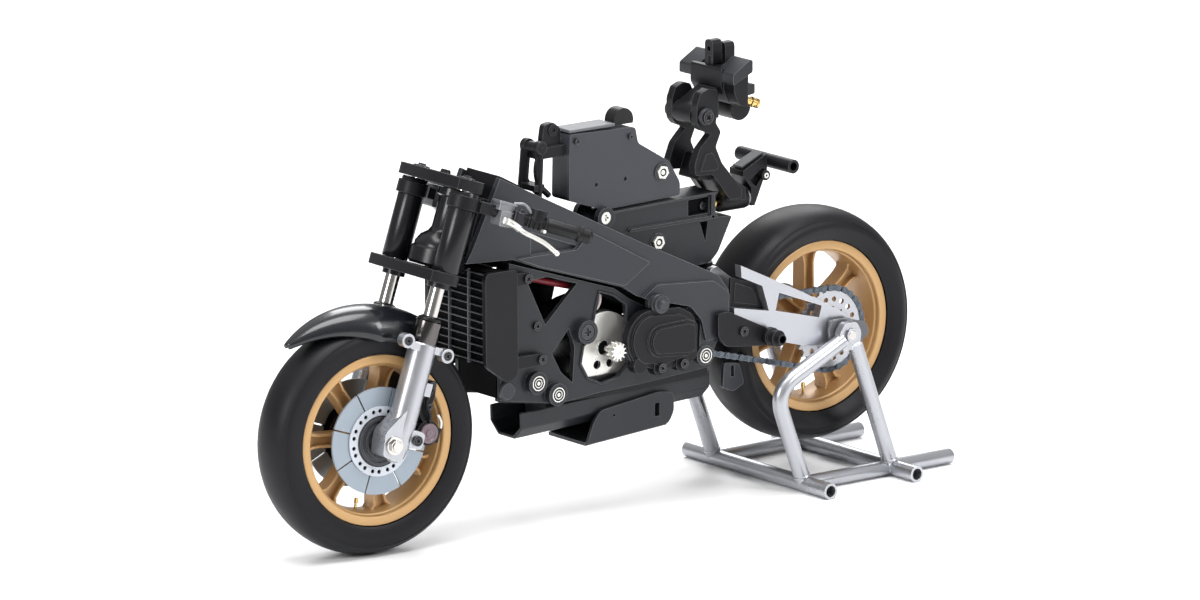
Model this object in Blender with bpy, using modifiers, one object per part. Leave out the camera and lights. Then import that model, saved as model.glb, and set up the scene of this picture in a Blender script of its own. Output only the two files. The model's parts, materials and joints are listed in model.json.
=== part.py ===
"""RC racing motorcycle, one eighth scale, on a rear paddock stand.

Helpers take millimetres and make metre meshes.
+X is forward, +Y is the bike's left, +Z is up.
The origin is under the middle of the object, on the surface it stands on.
"""

import math

import bmesh
import bpy
from mathutils import Matrix, Vector

# Driving dimensions, in millimetres and degrees.
MM = 0.001
GAP = 0.3
FRONT_AXLE = Vector((92.2, 0.0, 37.62))
REAR_AXLE = Vector((-85.8, 0.0, 49.9))
RAKE = 19.0
STEER = -5.4
STEM_OFFSET = 9.3
TUBE_X = 6.0
TUBE_Y = 13.5
SWING_PIVOT = Vector((-36.0, 0.0, 59.5))
TAIL_TUBE = Vector((-70.2, 0.0, 106.1))
HIP_AXIS = Vector((-49.5, 0.0, 95.1))
HIP_TOP_AXIS = Vector((-38.0, 0.0, 125.9))
MOTOR_AXIS = Vector((4.2, 0.0, 55.7))
SPUR_AXIS = Vector((-6.9, 0.0, 57.3))
OUTPUT_AXIS = Vector((-21.6, 0.0, 58.7))
FRONT_TYRE = (37.6, 8.8)
REAR_TYRE = (38.8, 11.5)
FRONT_RIM = (27.6, 7.2)
REAR_RIM = (28.4, 8.2)
SPOKES = 7
STANCHION = 2.4
SLEEVE = 3.4
STEM = 2.2
FRONT_PIN = 1.5
REAR_PIN = 1.6
AXLE_HEAD = 2.9
AXLE_HEAD_Y = 17.9
SPAR_TAPER = 0.0753
SPAR_PARALLEL_X = -38.0
REAR_SPROCKET_TEETH = 27
DRIVE_SPROCKET_TEETH = 9
PINION_TEETH = 12
STAND_Y = 23.3
STAND_TUBE = 2.65
CHAIN_Y = (12.3, 14.1)
SPROCKET_Y = (12.5, 13.9)
CHAIN_OUTER = (14.3, 6.4)
CHAIN_INNER = (12.9, 5.0)
RAKE_FORWARD = Vector((math.cos(math.radians(RAKE)), 0.0, math.sin(math.radians(RAKE))))
STEM_FOOT = FRONT_AXLE - RAKE_FORWARD * STEM_OFFSET

AXIS_ROTATION = {
    "X": Matrix.Rotation(math.pi / 2, 4, "Y"),
    "Y": Matrix.Rotation(-math.pi / 2, 4, "X"),
    "Z": Matrix.Identity(4),
}
# A slab's outline is drawn in the plane that its axis points out of.
SLAB_ROTATION = {
    "X": Matrix(((0, 0, 1, 0), (1, 0, 0, 0), (0, 1, 0, 0), (0, 0, 0, 1))),
    "Y": Matrix(((1, 0, 0, 0), (0, 0, -1, 0), (0, 1, 0, 0), (0, 0, 0, 1))),
    "Z": Matrix.Identity(4),
}


# Scene set-up


def clear_scene():
    for obj in list(bpy.data.objects):
        bpy.data.objects.remove(obj, do_unlink=True)
    model = bpy.data.collections.new("rc_motorcycle")
    bpy.context.scene.collection.children.link(model)
    return model


COLLECTION = clear_scene()


def make_material(name, colour, roughness, metallic=0.0):
    material = bpy.data.materials.new(name)
    material.use_nodes = True
    shader = material.node_tree.nodes["Principled BSDF"]
    shader.inputs["Base Color"].default_value = (*colour, 1.0)
    shader.inputs["Roughness"].default_value = roughness
    shader.inputs["Metallic"].default_value = metallic
    return material


BLACK = make_material("black_nylon", (0.02, 0.02, 0.022), 0.5)
GLOSS = make_material("gloss_black", (0.008, 0.008, 0.01), 0.15)
GREY = make_material("grey_plastic", (0.09, 0.1, 0.11), 0.5)
TYRE = make_material("tyre_rubber", (0.018, 0.018, 0.018), 0.75)
GOLD = make_material("gold_paint", (0.55, 0.33, 0.12), 0.35, 0.7)
SILVER = make_material("silver_paint", (0.62, 0.63, 0.65), 0.35, 0.7)
STEEL = make_material("polished_steel", (0.75, 0.75, 0.75), 0.15, 1.0)
DISC = make_material("disc_grey", (0.45, 0.5, 0.55), 0.4, 0.5)
BRASS = make_material("brass", (0.7, 0.5, 0.2), 0.25, 1.0)
RED = make_material("red_wire", (0.35, 0.02, 0.03), 0.4)


# Shape helpers. Each returns a bmesh in millimetres.


def moved(shape, location=(0, 0, 0), rotation=None):
    """Turn a shape about its own origin, then move it."""
    matrix = Matrix.Translation(Vector(location))
    if rotation is not None:
        matrix = matrix @ rotation
    bmesh.ops.transform(shape, matrix=matrix, verts=shape.verts)
    return shape


def box(size, centre, turn_y=0.0):
    shape = bmesh.new()
    bmesh.ops.create_cube(shape, size=1.0)
    bmesh.ops.scale(shape, vec=Vector(size), verts=shape.verts)
    return moved(shape, centre, Matrix.Rotation(math.radians(turn_y), 4, "Y"))


def span_box(low, high):
    """Box between two opposite corners."""
    low, high = Vector(low), Vector(high)
    return box(high - low, (low + high) / 2)


def cylinder(radius, length, centre, axis="Y", top_radius=None, sides=16):
    shape = bmesh.new()
    bmesh.ops.create_cone(
        shape,
        cap_ends=True,
        segments=sides,
        radius1=radius,
        radius2=radius if top_radius is None else top_radius,
        depth=length,
    )
    return moved(shape, centre, AXIS_ROTATION[axis])


def rod(start, end, radius, sides=12):
    """Straight round bar between two points."""
    start, end = Vector(start), Vector(end)
    along = end - start
    shape = bmesh.new()
    bmesh.ops.create_cone(
        shape, cap_ends=True, segments=sides, radius1=radius, radius2=radius, depth=along.length
    )
    turn = along.to_track_quat("Z", "Y").to_matrix().to_4x4()
    return moved(shape, (start + end) / 2, turn)


def circle(centre, radius, count=16, start=0.0, sweep=360.0):
    """Points on a circle or, with a smaller sweep, on an arc with both its ends."""
    steps = count if sweep == 360.0 else count - 1
    return [
        (
            centre[0] + radius * math.cos(math.radians(start + sweep * i / steps)),
            centre[1] + radius * math.sin(math.radians(start + sweep * i / steps)),
        )
        for i in range(count)
    ]


def rounded(points, radius, steps=2):
    """Outline whose corners are replaced by arcs of about this radius."""
    outline = []
    for i, corner in enumerate(points):
        here = Vector(corner)
        before = Vector(points[i - 1]) - here
        after = Vector(points[(i + 1) % len(points)]) - here
        reach = min(radius, before.length * 0.45, after.length * 0.45)
        first = here + before.normalized() * reach
        last = here + after.normalized() * reach
        for k in range(steps + 1):
            t = k / steps
            outline.append(tuple(first * (1 - t) ** 2 + here * (2 * t * (1 - t)) + last * t**2))
    return outline


def evaluated_shape(holder):
    """Closed bmesh of an object with its modifiers, and with loose caps welded on. The object is removed."""
    bpy.context.scene.collection.objects.link(holder)
    graph = bpy.context.evaluated_depsgraph_get()
    mesh = bpy.data.meshes.new_from_object(holder.evaluated_get(graph))
    shape = bmesh.new()
    shape.from_mesh(mesh)
    bmesh.ops.remove_doubles(shape, verts=shape.verts, dist=0.001)
    bmesh.ops.recalc_face_normals(shape, faces=shape.faces)
    bpy.data.objects.remove(holder, do_unlink=True)
    bpy.data.meshes.remove(mesh)
    return shape


def slab(outline, low, high, axis="Y", holes=()):
    """Flat outline, with holes, that is solid from low to high along an axis."""
    curve = bpy.data.curves.new("slab", "CURVE")
    curve.dimensions = "2D"
    curve.fill_mode = "BOTH"
    curve.extrude = (high - low) / 2
    for loop in (outline, *holes):
        spline = curve.splines.new("POLY")
        spline.points.add(len(loop) - 1)
        for point, place in zip(spline.points, loop):
            point.co = (place[0], place[1], 0.0, 1.0)
        spline.use_cyclic_u = True
    shape = evaluated_shape(bpy.data.objects.new("slab", curve))
    shift = {"X": (1, 0, 0), "Y": (0, 1, 0), "Z": (0, 0, 1)}[axis]
    return moved(shape, Vector(shift) * (low + high) / 2, SLAB_ROTATION[axis])


def bent_tube(points, radius, sides=3):
    """Round bar through a few points, with a smooth run between them."""
    curve = bpy.data.curves.new("tube", "CURVE")
    curve.dimensions = "3D"
    curve.bevel_depth = radius
    curve.bevel_resolution = sides - 1
    curve.use_fill_caps = True
    spline = curve.splines.new("POLY")
    spline.points.add(len(points) - 1)
    for point, place in zip(spline.points, points):
        point.co = (*place, 1.0)
    return evaluated_shape(bpy.data.objects.new("tube", curve))


def smooth_path(points, steps=4):
    """Catmull-Rom run through hand-placed points."""
    places = [Vector(p) for p in points]
    places = [2 * places[0] - places[1], *places, 2 * places[-1] - places[-2]]
    path = []
    for a, b, c, d in zip(places, places[1:], places[2:], places[3:]):
        for k in range(steps):
            t = k / steps
            path.append(
                0.5 * (2 * b + (c - a) * t + (2 * a - 5 * b + 4 * c - d) * t**2
                       + (3 * b - a - 3 * c + d) * t**3)
            )
    return [*path, places[-2]]


def turned(profile, centre, axis="Y", steps=24):
    """Ring or disc turned from a closed profile of (radius, position along the axis)."""
    mesh = bpy.data.meshes.new("profile")
    points = [(radius, 0.0, along) for radius, along in profile]
    mesh.from_pydata(points, [(i - 1, i) for i in range(1, len(points))] + [(len(points) - 1, 0)], [])
    holder = bpy.data.objects.new("profile", mesh)
    screw = holder.modifiers.new("turn", "SCREW")
    screw.steps = steps
    screw.render_steps = steps
    screw.use_merge_vertices = True
    screw.merge_threshold = 0.0001
    return moved(evaluated_shape(holder), centre, AXIS_ROTATION[axis])


def mirrored(shape):
    """The same shape on the other side of the middle plane."""
    copy = shape.copy()
    bmesh.ops.scale(copy, vec=Vector((1, -1, 1)), verts=copy.verts)
    bmesh.ops.reverse_faces(copy, faces=copy.faces)
    return copy


# Finished parts


def temporary_object(shape):
    mesh = bpy.data.meshes.new("temporary")
    bmesh.ops.scale(shape, vec=Vector((MM, MM, MM)), verts=shape.verts)
    shape.to_mesh(mesh)
    shape.free()
    obj = bpy.data.objects.new("temporary", mesh)
    bpy.context.scene.collection.objects.link(obj)
    return obj


def part(name, material, adds, cuts=(), parent=None, smooth=35.0, solver="EXACT"):
    """One solid body: the adds joined together, then the cuts taken away.

    The exact solver leaves holes where many tubes of one size meet, so those take the other one.
    """
    tools = [(temporary_object(shape), "UNION") for shape in adds[1:]]
    tools += [(temporary_object(shape), "DIFFERENCE") for shape in cuts]
    base = temporary_object(adds[0])
    for tool, operation in tools:
        modifier = base.modifiers.new("join", "BOOLEAN")
        modifier.solver = solver
        modifier.operation = operation
        modifier.object = tool
    graph = bpy.context.evaluated_depsgraph_get()
    mesh = bpy.data.meshes.new_from_object(base.evaluated_get(graph))
    for obj in [base, *(tool for tool, _ in tools)]:
        bpy.data.objects.remove(obj, do_unlink=True)
    mesh.name = name
    mesh.materials.clear()
    mesh.materials.append(material)
    mesh.shade_smooth()
    mesh.set_sharp_from_angle(angle=math.radians(smooth))
    obj = bpy.data.objects.new(name, mesh)
    COLLECTION.objects.link(obj)
    obj.parent = parent
    return obj


def empty(name, location, rotation=None, parent=None):
    """Joint frame: its own axes carry the pieces that hang on it."""
    obj = bpy.data.objects.new(name, None)
    COLLECTION.objects.link(obj)
    obj.parent = parent
    matrix = Matrix.Translation(Vector(location) * MM)
    obj.matrix_local = matrix if rotation is None else matrix @ rotation
    return obj


def for_sides(make, *arguments):
    """Make a left part and its mirror image on the right."""
    for side, is_left in (("left", True), ("right", False)):
        make(side, is_left, *arguments)


def sided(shape, is_left):
    return shape if is_left else mirrored(shape)


# Wheels


def tyre_profile(radius, half_width, rim):
    """Slick tyre: round crown, full side walls, and a bead that sits between the rim's flanges."""
    rim_radius, rim_half = rim
    outer = []
    for i in range(7):
        angle = math.radians(-90 + 180 * i / 6)
        height = rim_radius + 4.0 + (radius - rim_radius - 4.0) * max(math.cos(angle), 0.0) ** 0.8
        outer.append((height, half_width * math.sin(angle)))
    seat = rim_radius - 2.0
    lip = rim_half - 1.5
    inner = [
        (rim_radius + GAP, rim_half + 0.4),
        (rim_radius + GAP, lip),
        (seat, lip),
        (seat, -lip),
        (rim_radius + GAP, -lip),
        (rim_radius + GAP, -rim_half - 0.4),
    ]
    return outer + inner


def wheel_shapes(rim, hub_radius, hub_half, bore):
    """Rim ring, spokes and hub of one wheel, centred on its axle."""
    radius, half = rim
    ring = turned(
        [
            (radius, half), (radius, half - 1.0), (radius - 2.3, half - 1.4),
            (radius - 2.3, 1.4 - half), (radius, 1.0 - half), (radius, -half),
            (radius - 3.2, -half), (radius - 4.4, 0.0), (radius - 3.2, half),
        ],
        (0, 0, 0),
    )
    spokes = []
    for i in range(SPOKES):
        spoke = span_box((-2.8, -3.0, hub_radius - 1.5), (2.8, 3.0, radius - 3.4))
        spokes.append(moved(spoke, (0, 0, 0), Matrix.Rotation(2 * math.pi * i / SPOKES, 4, "Y")))
    hub = cylinder(hub_radius, 2 * hub_half, (0, 0, 0))
    return [ring, hub, *spokes], [cylinder(bore, 2 * hub_half + 4, (0, 0, 0))]


def front_wheel(axle):
    profile = tyre_profile(*FRONT_TYRE, FRONT_RIM)
    part("front_tyre", TYRE, [turned(profile, (0, 0, 0))], parent=axle)
    adds, cuts = wheel_shapes(FRONT_RIM, 6.4, 7.3, 3.9)
    part("front_rim", GOLD, adds, cuts, parent=axle)
    hub = turned(
        [
            (1.8, 9.0), (7.0, 9.0), (8.4, 8.6), (11.2, 8.5), (11.2, 7.6), (3.6, 7.6),
            (3.6, -7.6), (11.2, -7.6), (11.2, -8.5), (8.4, -8.6), (7.0, -9.0), (1.8, -9.0),
        ],
        (0, 0, 0),
        steps=20,
    )
    part("front_hub", GREY, [hub], parent=axle)
    for_sides(brake_disc, axle)


def brake_disc(side, is_left, axle):
    ring = turned([(11.5, 8.4), (17.3, 8.4), (17.3, 7.6), (11.5, 7.6)], (0, 0, 0), steps=28)
    part(f"brake_disc_{side}", DISC, [sided(ring, is_left)], parent=axle)


def rear_wheel(axle):
    profile = tyre_profile(*REAR_TYRE, REAR_RIM)
    part("rear_tyre", TYRE, [turned(profile, (0, 0, 0))], parent=axle)
    adds, cuts = wheel_shapes(REAR_RIM, 6.0, 12.0, 2.0)
    part("rear_rim", GOLD, adds, cuts, parent=axle)
    teeth = gear_outline(11.6, 12.4, REAR_SPROCKET_TEETH)
    holes = [circle(polar(9.0, 45 * i), 1.4, 8) for i in range(8)]
    sprocket = slab(teeth, *SPROCKET_Y, "Y", [circle((0, 0), 2.2, 16), *holes])
    part("rear_sprocket", STEEL, [sprocket], parent=axle)


def polar(radius, degrees):
    return (radius * math.cos(math.radians(degrees)), radius * math.sin(math.radians(degrees)))


def gear_outline(root, tip, teeth):
    """Simple straight-flanked teeth around a circle."""
    outline = []
    for i in range(teeth):
        for offset, radius in ((0.0, root), (0.3, tip), (0.6, tip), (0.9, root)):
            outline.append(polar(radius, 360 * (i + offset) / teeth))
    return outline


# Front fork


def clamp_outline(front, rear, half_length):
    return rounded(
        [
            (front, -half_length), (front, half_length), (rear, half_length),
            (-5.5, 6.5), (-5.5, -6.5), (rear, -half_length),
        ],
        2.4,
    )


def triple_clamps(steering):
    tube_holes = [circle((TUBE_X, y), STANCHION + GAP, 14) for y in (-TUBE_Y, TUBE_Y)]
    lower = slab(clamp_outline(13.5, 3.0, 19.5), 53.3, 56.9, "Z", tube_holes)
    stem = cylinder(STEM, 32.6, (0, 0, 70.6), "Z")
    part("lower_clamp", BLACK, [lower, stem], parent=steering)
    holes = [*tube_holes, circle((0, 0), STEM + GAP, 14)]
    upper = slab(clamp_outline(11.9, 2.2, 18.3), 83.5, 87.2, "Z", holes)
    screw = cylinder(1.9, 1.6, (5.6, 0, 87.6), "Z", 1.5)
    part("upper_clamp", BLACK, [upper, screw], parent=steering)


def fork_leg(side, is_left, steering, slide):
    y = TUBE_Y if is_left else -TUBE_Y
    sleeve = turned(
        [(STANCHION + GAP, 57.2), (SLEEVE, 57.2), (SLEEVE, 83.2), (STANCHION + GAP, 83.2)],
        (TUBE_X, y, 0), "Z", 16,
    )
    part(f"fork_tube_{side}", BLACK, [sleeve], parent=steering)
    tube = cylinder(STANCHION, 76.6, (TUBE_X, y, 48.7), "Z")
    part(f"stanchion_{side}", STEEL, [tube], parent=steering)
    barrel = cylinder(4.2, 44.0, (TUBE_X, y, 19.0), "Z", 4.0)
    foot = slab(
        rounded([(3.4, -5.0), (15.6, -4.6), (14.4, 4.0), (10.0, 20.0), (5.0, 20.0), (3.4, 6.0)], 2.0),
        TUBE_Y - 3.3, TUBE_Y + 3.3,
    )
    ears = [cylinder(2.3, 2.6, (x, TUBE_Y + 2.2, z)) for x, z in ((14.2, 30.2), (0.2, 29.5))]
    arm = span_box((0.2, TUBE_Y + 1.2, 28.2), (14.2, TUBE_Y + 3.2, 31.4))
    caliper_lug = span_box((-2.6, TUBE_Y - 1.0, 17.0), (4.0, TUBE_Y + 1.4, 22.0))
    adds = [barrel, *(sided(s, is_left) for s in (foot, *ears, arm, caliper_lug))]
    cuts = [
        cylinder(STANCHION + GAP, 38.0, (TUBE_X, y, 25.0), "Z"),
        cylinder(FRONT_PIN + GAP, 12.0, (STEM_OFFSET, y, 0)),
        cylinder(AXLE_HEAD + GAP, 3.0, (STEM_OFFSET, math.copysign(AXLE_HEAD_Y + 0.46, y), 0)),
    ]
    part(f"fork_slider_{side}", SILVER, adds, cuts, parent=slide)


def front_axle(slide):
    pin = cylinder(FRONT_PIN, 34.8, (STEM_OFFSET, 0, 0))
    heads = [cylinder(AXLE_HEAD, 1.4, (STEM_OFFSET, y, 0)) for y in (-AXLE_HEAD_Y, AXLE_HEAD_Y)]
    part("front_axle", STEEL, [pin, *heads], parent=slide)


def caliper(side, is_left, slide):
    body = slab(
        rounded([(-9.6, 1.0), (-9.6, 13.0), (-5.0, 15.6), (0.6, 14.6), (0.6, 1.0)], 1.6), 6.2, 12.2
    )
    bracket = span_box((-4.4, 9.3, 13.0), (-1.4, 12.1, 22.6))
    disc_slot = span_box((-8.3, 7.25, -1.0), (3.0, 8.75, 17.0))
    adds = [sided(body, is_left), sided(bracket, is_left)]
    part(f"caliper_{side}", BLACK, adds, [sided(disc_slot, is_left)], parent=slide)


def fender(slide):
    """Mudguard over the front tyre: a crowned strip that narrows to a point ahead."""
    start, end = 30.0, 103.0
    front_radius, rear_radius, half_width = 43.8, 40.0, 9.0
    columns, rows = 11, 6
    shape = bmesh.new()
    bmesh.ops.create_grid(shape, x_segments=columns, y_segments=rows, size=1.0)
    for vert in shape.verts:
        along = (vert.co.x + 1) / 2
        across = vert.co.y
        angle = math.radians(start + (end - start) * along)
        crown = front_radius + (rear_radius - front_radius) * along
        taper = min(1.0, 0.12 + 1.5 * along) ** 0.7
        skirt = (1.5 + 6.0 * min(1.0, along * 1.6)) * abs(across) ** 2.6
        radius = crown - skirt
        vert.co = Vector((
            STEM_OFFSET + radius * math.cos(angle),
            half_width * taper * math.sin(across * math.pi / 2),
            radius * math.sin(angle),
        ))
    bmesh.ops.recalc_face_normals(shape, faces=shape.faces)
    thickened = thicken(shape, 0.7)
    part("front_fender", GLOSS, [thickened], parent=slide, smooth=60.0)


def thicken(shape, thickness):
    """Closed shell made from an open surface."""
    mesh = bpy.data.meshes.new("surface")
    shape.to_mesh(mesh)
    shape.free()
    holder = bpy.data.objects.new("surface", mesh)
    modifier = holder.modifiers.new("thickness", "SOLIDIFY")
    modifier.thickness = thickness
    modifier.offset = 0.0
    return evaluated_shape(holder)


BAR_START = Vector((3.0, 16.4, 80.0))
BAR_END = Vector((-33.4, 32.0, 79.3))


def handlebar(side, is_left, steering):
    """Clip-on bar: clamp ring on the fork tube, control block, bar with grip, and hand socket."""
    along = (BAR_END - BAR_START).normalized()
    ring = cylinder(4.9, 4.4, (TUBE_X, TUBE_Y, 79.8), "Z")
    bar = rod(BAR_START, BAR_START + along * 20, 1.9)
    block = box((9.0, 6.4, 6.6), BAR_START + along * 6.4 + Vector((0, 0, 0.2)), 4)
    grip = rod(BAR_START + along * 16, BAR_END, 2.4)
    socket_place = BAR_START + along * 22
    socket = cylinder(2.6, 4.2, socket_place + Vector((0, 0, 1.8)), "Z", sides=16)
    adds = [sided(s, is_left) for s in (ring, bar, block, grip, socket)]
    y = TUBE_Y if is_left else -TUBE_Y
    socket_y = socket_place.y if is_left else -socket_place.y
    cuts = [
        cylinder(SLEEVE + GAP, 8.0, (TUBE_X, y, 79.8), "Z"),
        cylinder(1.6, 4.0, (socket_place.x, socket_y, socket_place.z + 3.4), "Z", sides=16),
    ]
    part(f"handlebar_{side}", BLACK, adds, cuts, parent=steering)
    path = smooth_path([(-4.6, 24.6, 76.9), (-6.2, 27.0, 76.2), (-11.5, 29.2, 75.4), (-20.6, 33.2, 72.4)])
    lever = sided(bent_tube(path, 0.8), is_left)
    part(f"lever_{side}", SILVER, [lever], parent=steering)


# Frame


def spar_shear(shape):
    """The twin spars come together towards the steering head."""
    for vert in shape.verts:
        vert.co.y -= SPAR_TAPER * (vert.co.x - SPAR_PARALLEL_X)
    return shape


def frame_head():
    turn = Matrix.Rotation(math.radians(-RAKE), 4, "Y")
    boss = moved(cylinder(4.3, 25.6, (0, 0, 70.2), "Z"), STEM_FOOT, turn)
    web = moved(span_box((-9.0, -3.2, 58.0), (0.0, 3.2, 82.4)), STEM_FOOT, turn)
    outline = [
        (52.6, 111.0), (48.0, 109.6), (45.4, 117.4), (38.0, 113.4), (43.0, 91.0), (58.6, 91.0)
    ]
    block = spar_shear(slab(outline, 4.0, 14.9))
    bore = moved(cylinder(STEM + GAP, 40.0, (0, 0, 70.2), "Z"), STEM_FOOT, turn)
    part("frame_head", BLACK, [block, mirrored(block), web, boss], [bore])


def spar(side, is_left):
    outline = [
        (47.0, 117.2), (57.6, 95.0), (60.0, 91.0), (42.3, 90.2), (32.7, 86.4), (0.4, 76.0),
        (-5.0, 72.4), (-25.6, 66.4), (-29.6, 61.4), (-29.2, 50.6), (-33.6, 48.4),
        (-40.4, 62.0), (-40.6, 70.0), (-36.6, 75.4), (-6.0, 90.2),
    ]
    panel = [
        (14.8, 96.7), (-9.4, 83.2), (0.4, 76.6), (32.6, 86.9), (41.0, 90.4), (35.5, 90.6),
        (18.8, 90.8), (17.0, 92.4),
    ]
    base = slab(outline, 15.2, 17.2)
    raised = slab(rounded(panel, 0.8), 17.0, 18.4)
    pivot_pad = slab(
        rounded([(-6.5, 71.6), (-25.0, 66.6), (-29.2, 61.6), (-31.0, 54.2), (-35.2, 55.0),
                 (-39.8, 62.2), (-40.0, 69.4), (-34.0, 74.0), (-12.0, 75.4)], 0.8),
        17.0, 18.4,
    )
    lower_boss = cylinder(3.3, 2.8, (-31.0, 16.6, 49.6))
    notch = slab([(35.5, 90.9), (35.5, 98.4), (18.0, 91.8), (19.4, 90.9)], 16.0, 18.8)
    adds = [sided(spar_shear(s), is_left) for s in (base, raised, pivot_pad, lower_boss)]
    part(f"spar_{side}", BLACK, adds, [sided(spar_shear(notch), is_left)])


def engine_plate(side, is_left):
    outline = [
        (44.4, 89.4), (33.0, 85.6), (2.0, 75.4), (-4.0, 71.2), (-14.0, 66.0), (-26.0, 50.6),
        (-37.0, 50.4), (-37.4, 44.0), (-8.0, 42.4), (8.0, 42.0), (24.0, 40.8), (38.0, 43.2),
        (48.0, 45.0), (48.0, 62.0), (45.0, 66.0),
    ]
    windows = [
        [(37.3, 82.6), (29.2, 83.0), (17.2, 79.2), (30.0, 67.4)],
        [(10.9, 65.6), (9.4, 71.4), (8.4, 75.4), (2.6, 73.4), (-2.6, 69.6), (-4.0, 50.0),
         (0.5, 46.2), (7.5, 44.8), (13.2, 47.6), (16.0, 52.5), (14.8, 58.4), (11.6, 60.4)],
        [(20.5, 64.8), (27.3, 57.6), (23.7, 51.0), (19.0, 46.8), (18.2, 58.5)],
    ]
    plate = slab(outline, 10.3, 12.0, "Y", windows)
    boss = cylinder(3.4, 2.2, (14.6, 12.9, 63.2))
    bearings = [
        cylinder(3.7, 2.6, (x, 13.1, z))
        for x, z in ((34.6, 49.3), (26.5, 44.4))
    ]
    adds = [sided(s, is_left) for s in (plate, boss, *bearings)]
    part(f"engine_plate_{side}", BLACK, adds)


def belly_pan():
    outline = [
        (-8.4, 8.6), (-8.4, 3.2), (-4.2, -0.8), (4.2, -0.8), (8.4, 3.2), (8.4, 8.6),
        (7.3, 8.6), (7.3, 3.7), (3.7, 0.4), (-3.7, 0.4), (-7.3, 3.7), (-7.3, 8.6),
    ]
    trough = slab(outline, -38.6, 38.6, "X")
    tilt = Matrix.Rotation(math.radians(2.2), 4, "Y")
    part("belly_pan", BLACK, [moved(trough, (-1.8, 0, 31.6), tilt)])


def battery():
    cell = box((58.0, 12.4, 6.8), (-4.0, 0, 39.0), 2.2)
    bmesh.ops.bevel(cell, geom=cell.edges, offset=0.8, segments=1, affect="EDGES")
    part("battery", GREY, [cell])


def lower_bracket():
    side = [
        (6.3, 35.4), (-18.0, 38.2), (-23.6, 37.2), (-24.0, 31.0), (-21.6, 27.0), (11.6, 24.8),
        (9.0, 31.8),
    ]
    hole = circle((0.6, 33.0), 0.5, 8)
    slot = [(-18.0, 34.6), (-16.0, 34.6), (-16.0, 30.2), (-18.0, 30.2)]
    walls = [slab(rounded(side, 1.4), low, low + 1.2, "Y", [hole, slot]) for low in (-10.2, 9.0)]
    floor = slab([(12.0, 24.4), (-21.4, 26.6), (-21.3, 27.8), (12.2, 25.6)], -9.6, 9.6)
    part("lower_bracket", BLACK, [walls[0], floor, walls[1]])


def radiator():
    core = span_box((49.0, -14.6, 58.2), (55.2, 14.6, 88.4))
    outline = [(57.0, 88.4), (44.2, 88.2), (44.0, 53.4), (48.0, 51.6), (56.8, 58.0)]
    shrouds = [slab(rounded(outline, 2.2), low, low + 1.8) for low in (-16.1, 14.3)]
    part("radiator", BLACK, [core, *shrouds])


def motor():
    can = cylinder(12.2, 19.4, (MOTOR_AXIS.x, -0.2, MOTOR_AXIS.z), sides=40)
    tail = cylinder(6.0, 2.4, (MOTOR_AXIS.x, -10.2, MOTOR_AXIS.z))
    part("motor", STEEL, [can, tail])


def motor_wires():
    path = smooth_path([(6.0, 3.0, 70.4), (13.0, 6.0, 76.0), (24.0, 7.0, 79.6), (35.0, 4.0, 83.0),
                        (40.0, 0.0, 86.0)])
    part("motor_wires", RED, [bent_tube(path, 0.9)])


def gear_case():
    """Left cover over the reduction gears, open towards the engine plate."""
    outline = rounded(
        [(2.8, 61.6), (-1.4, 68.0), (-8.6, 69.6), (-23.8, 64.8), (-27.4, 60.0), (-26.6, 48.2),
         (-11.5, 46.2), (-1.0, 52.6)],
        2.6,
    )
    shell = slab(outline, 15.0, 19.4)
    panel = slab(
        circle((-11.0, 57.0), 4.4, 9, 78, 180) + circle((-23.2, 58.0), 4.2, 9, -102, 180),
        19.2, 20.4,
    )
    cavities = [
        cylinder(9.2, 3.8, (SPUR_AXIS.x, 16.3, SPUR_AXIS.z)),
        cylinder(6.2, 3.8, (OUTPUT_AXIS.x, 16.3, OUTPUT_AXIS.z)),
        cylinder(3.5, 3.8, (MOTOR_AXIS.x - 0.4, 16.3, MOTOR_AXIS.z)),
    ]
    part("gear_case", BLACK, [shell, panel], cavities)


def drive_gears(motor_shaft, spur_shaft, output_shaft):
    pinion = slab(gear_outline(2.1, 2.75, PINION_TEETH), 14.5, 17.2)
    shaft = cylinder(1.0, 5.4, (0, 12.9, 0), sides=16)
    part("pinion", STEEL, [pinion, shaft], parent=motor_shaft)
    spur = cylinder(8.1, 1.8, (0, 16.3, 0), sides=40)
    spur_pin = cylinder(1.2, 3.2, (0, 14.0, 0), sides=16)
    part("spur_gear", GREY, [spur, spur_pin], parent=spur_shaft)
    gear = cylinder(5.8, 1.8, (0, 16.3, 0), sides=32)
    sprocket = slab(gear_outline(3.3, 4.0, DRIVE_SPROCKET_TEETH), *SPROCKET_Y)
    pin = cylinder(1.2, 3.2, (0, 14.8, 0), sides=16)
    part("drive_sprocket", STEEL, [gear, pin, sprocket], parent=output_shaft)


# Upper body carriers


def upper_frame():
    outline = [
        (0.0, 98.8), (-45.0, 99.9), (-45.2, 91.2), (-52.0, 90.8), (-46.2, 79.5), (-43.0, 76.6),
        (-30.0, 75.6), (6.0, 86.0), (6.0, 95.0),
    ]
    core = slab(rounded(outline, 1.0), -4.8, 4.8)
    bore = cylinder(2.6, 10.0, (-42.0, 0, HIP_AXIS.z), "X")
    collar = cylinder(2.6, 1.6, (1.0, 5.2, 95.0), sides=16)
    part("upper_frame", BLACK, [core, collar], [bore])


def servo_case():
    outline = [
        (14.2, 126.1), (-12.4, 125.2), (-13.5, 119.8), (-26.2, 112.2), (-30.7, 104.7),
        (-30.7, 100.4), (0.0, 99.6), (14.6, 104.4),
    ]
    part("servo_case", GREY, [slab(rounded(outline, 1.2), -4.5, 4.5)])
    lid = span_box((-4.4, -4.2, 126.4), (14.0, 4.2, 127.4))
    part("servo_lid", GREY, [lid])
    knob = slab(circle((-9.2, 127.4), 4.0, 14, -18, 216), -2.4, 2.4)
    part("rubber_cap", BLACK, [knob])


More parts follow.
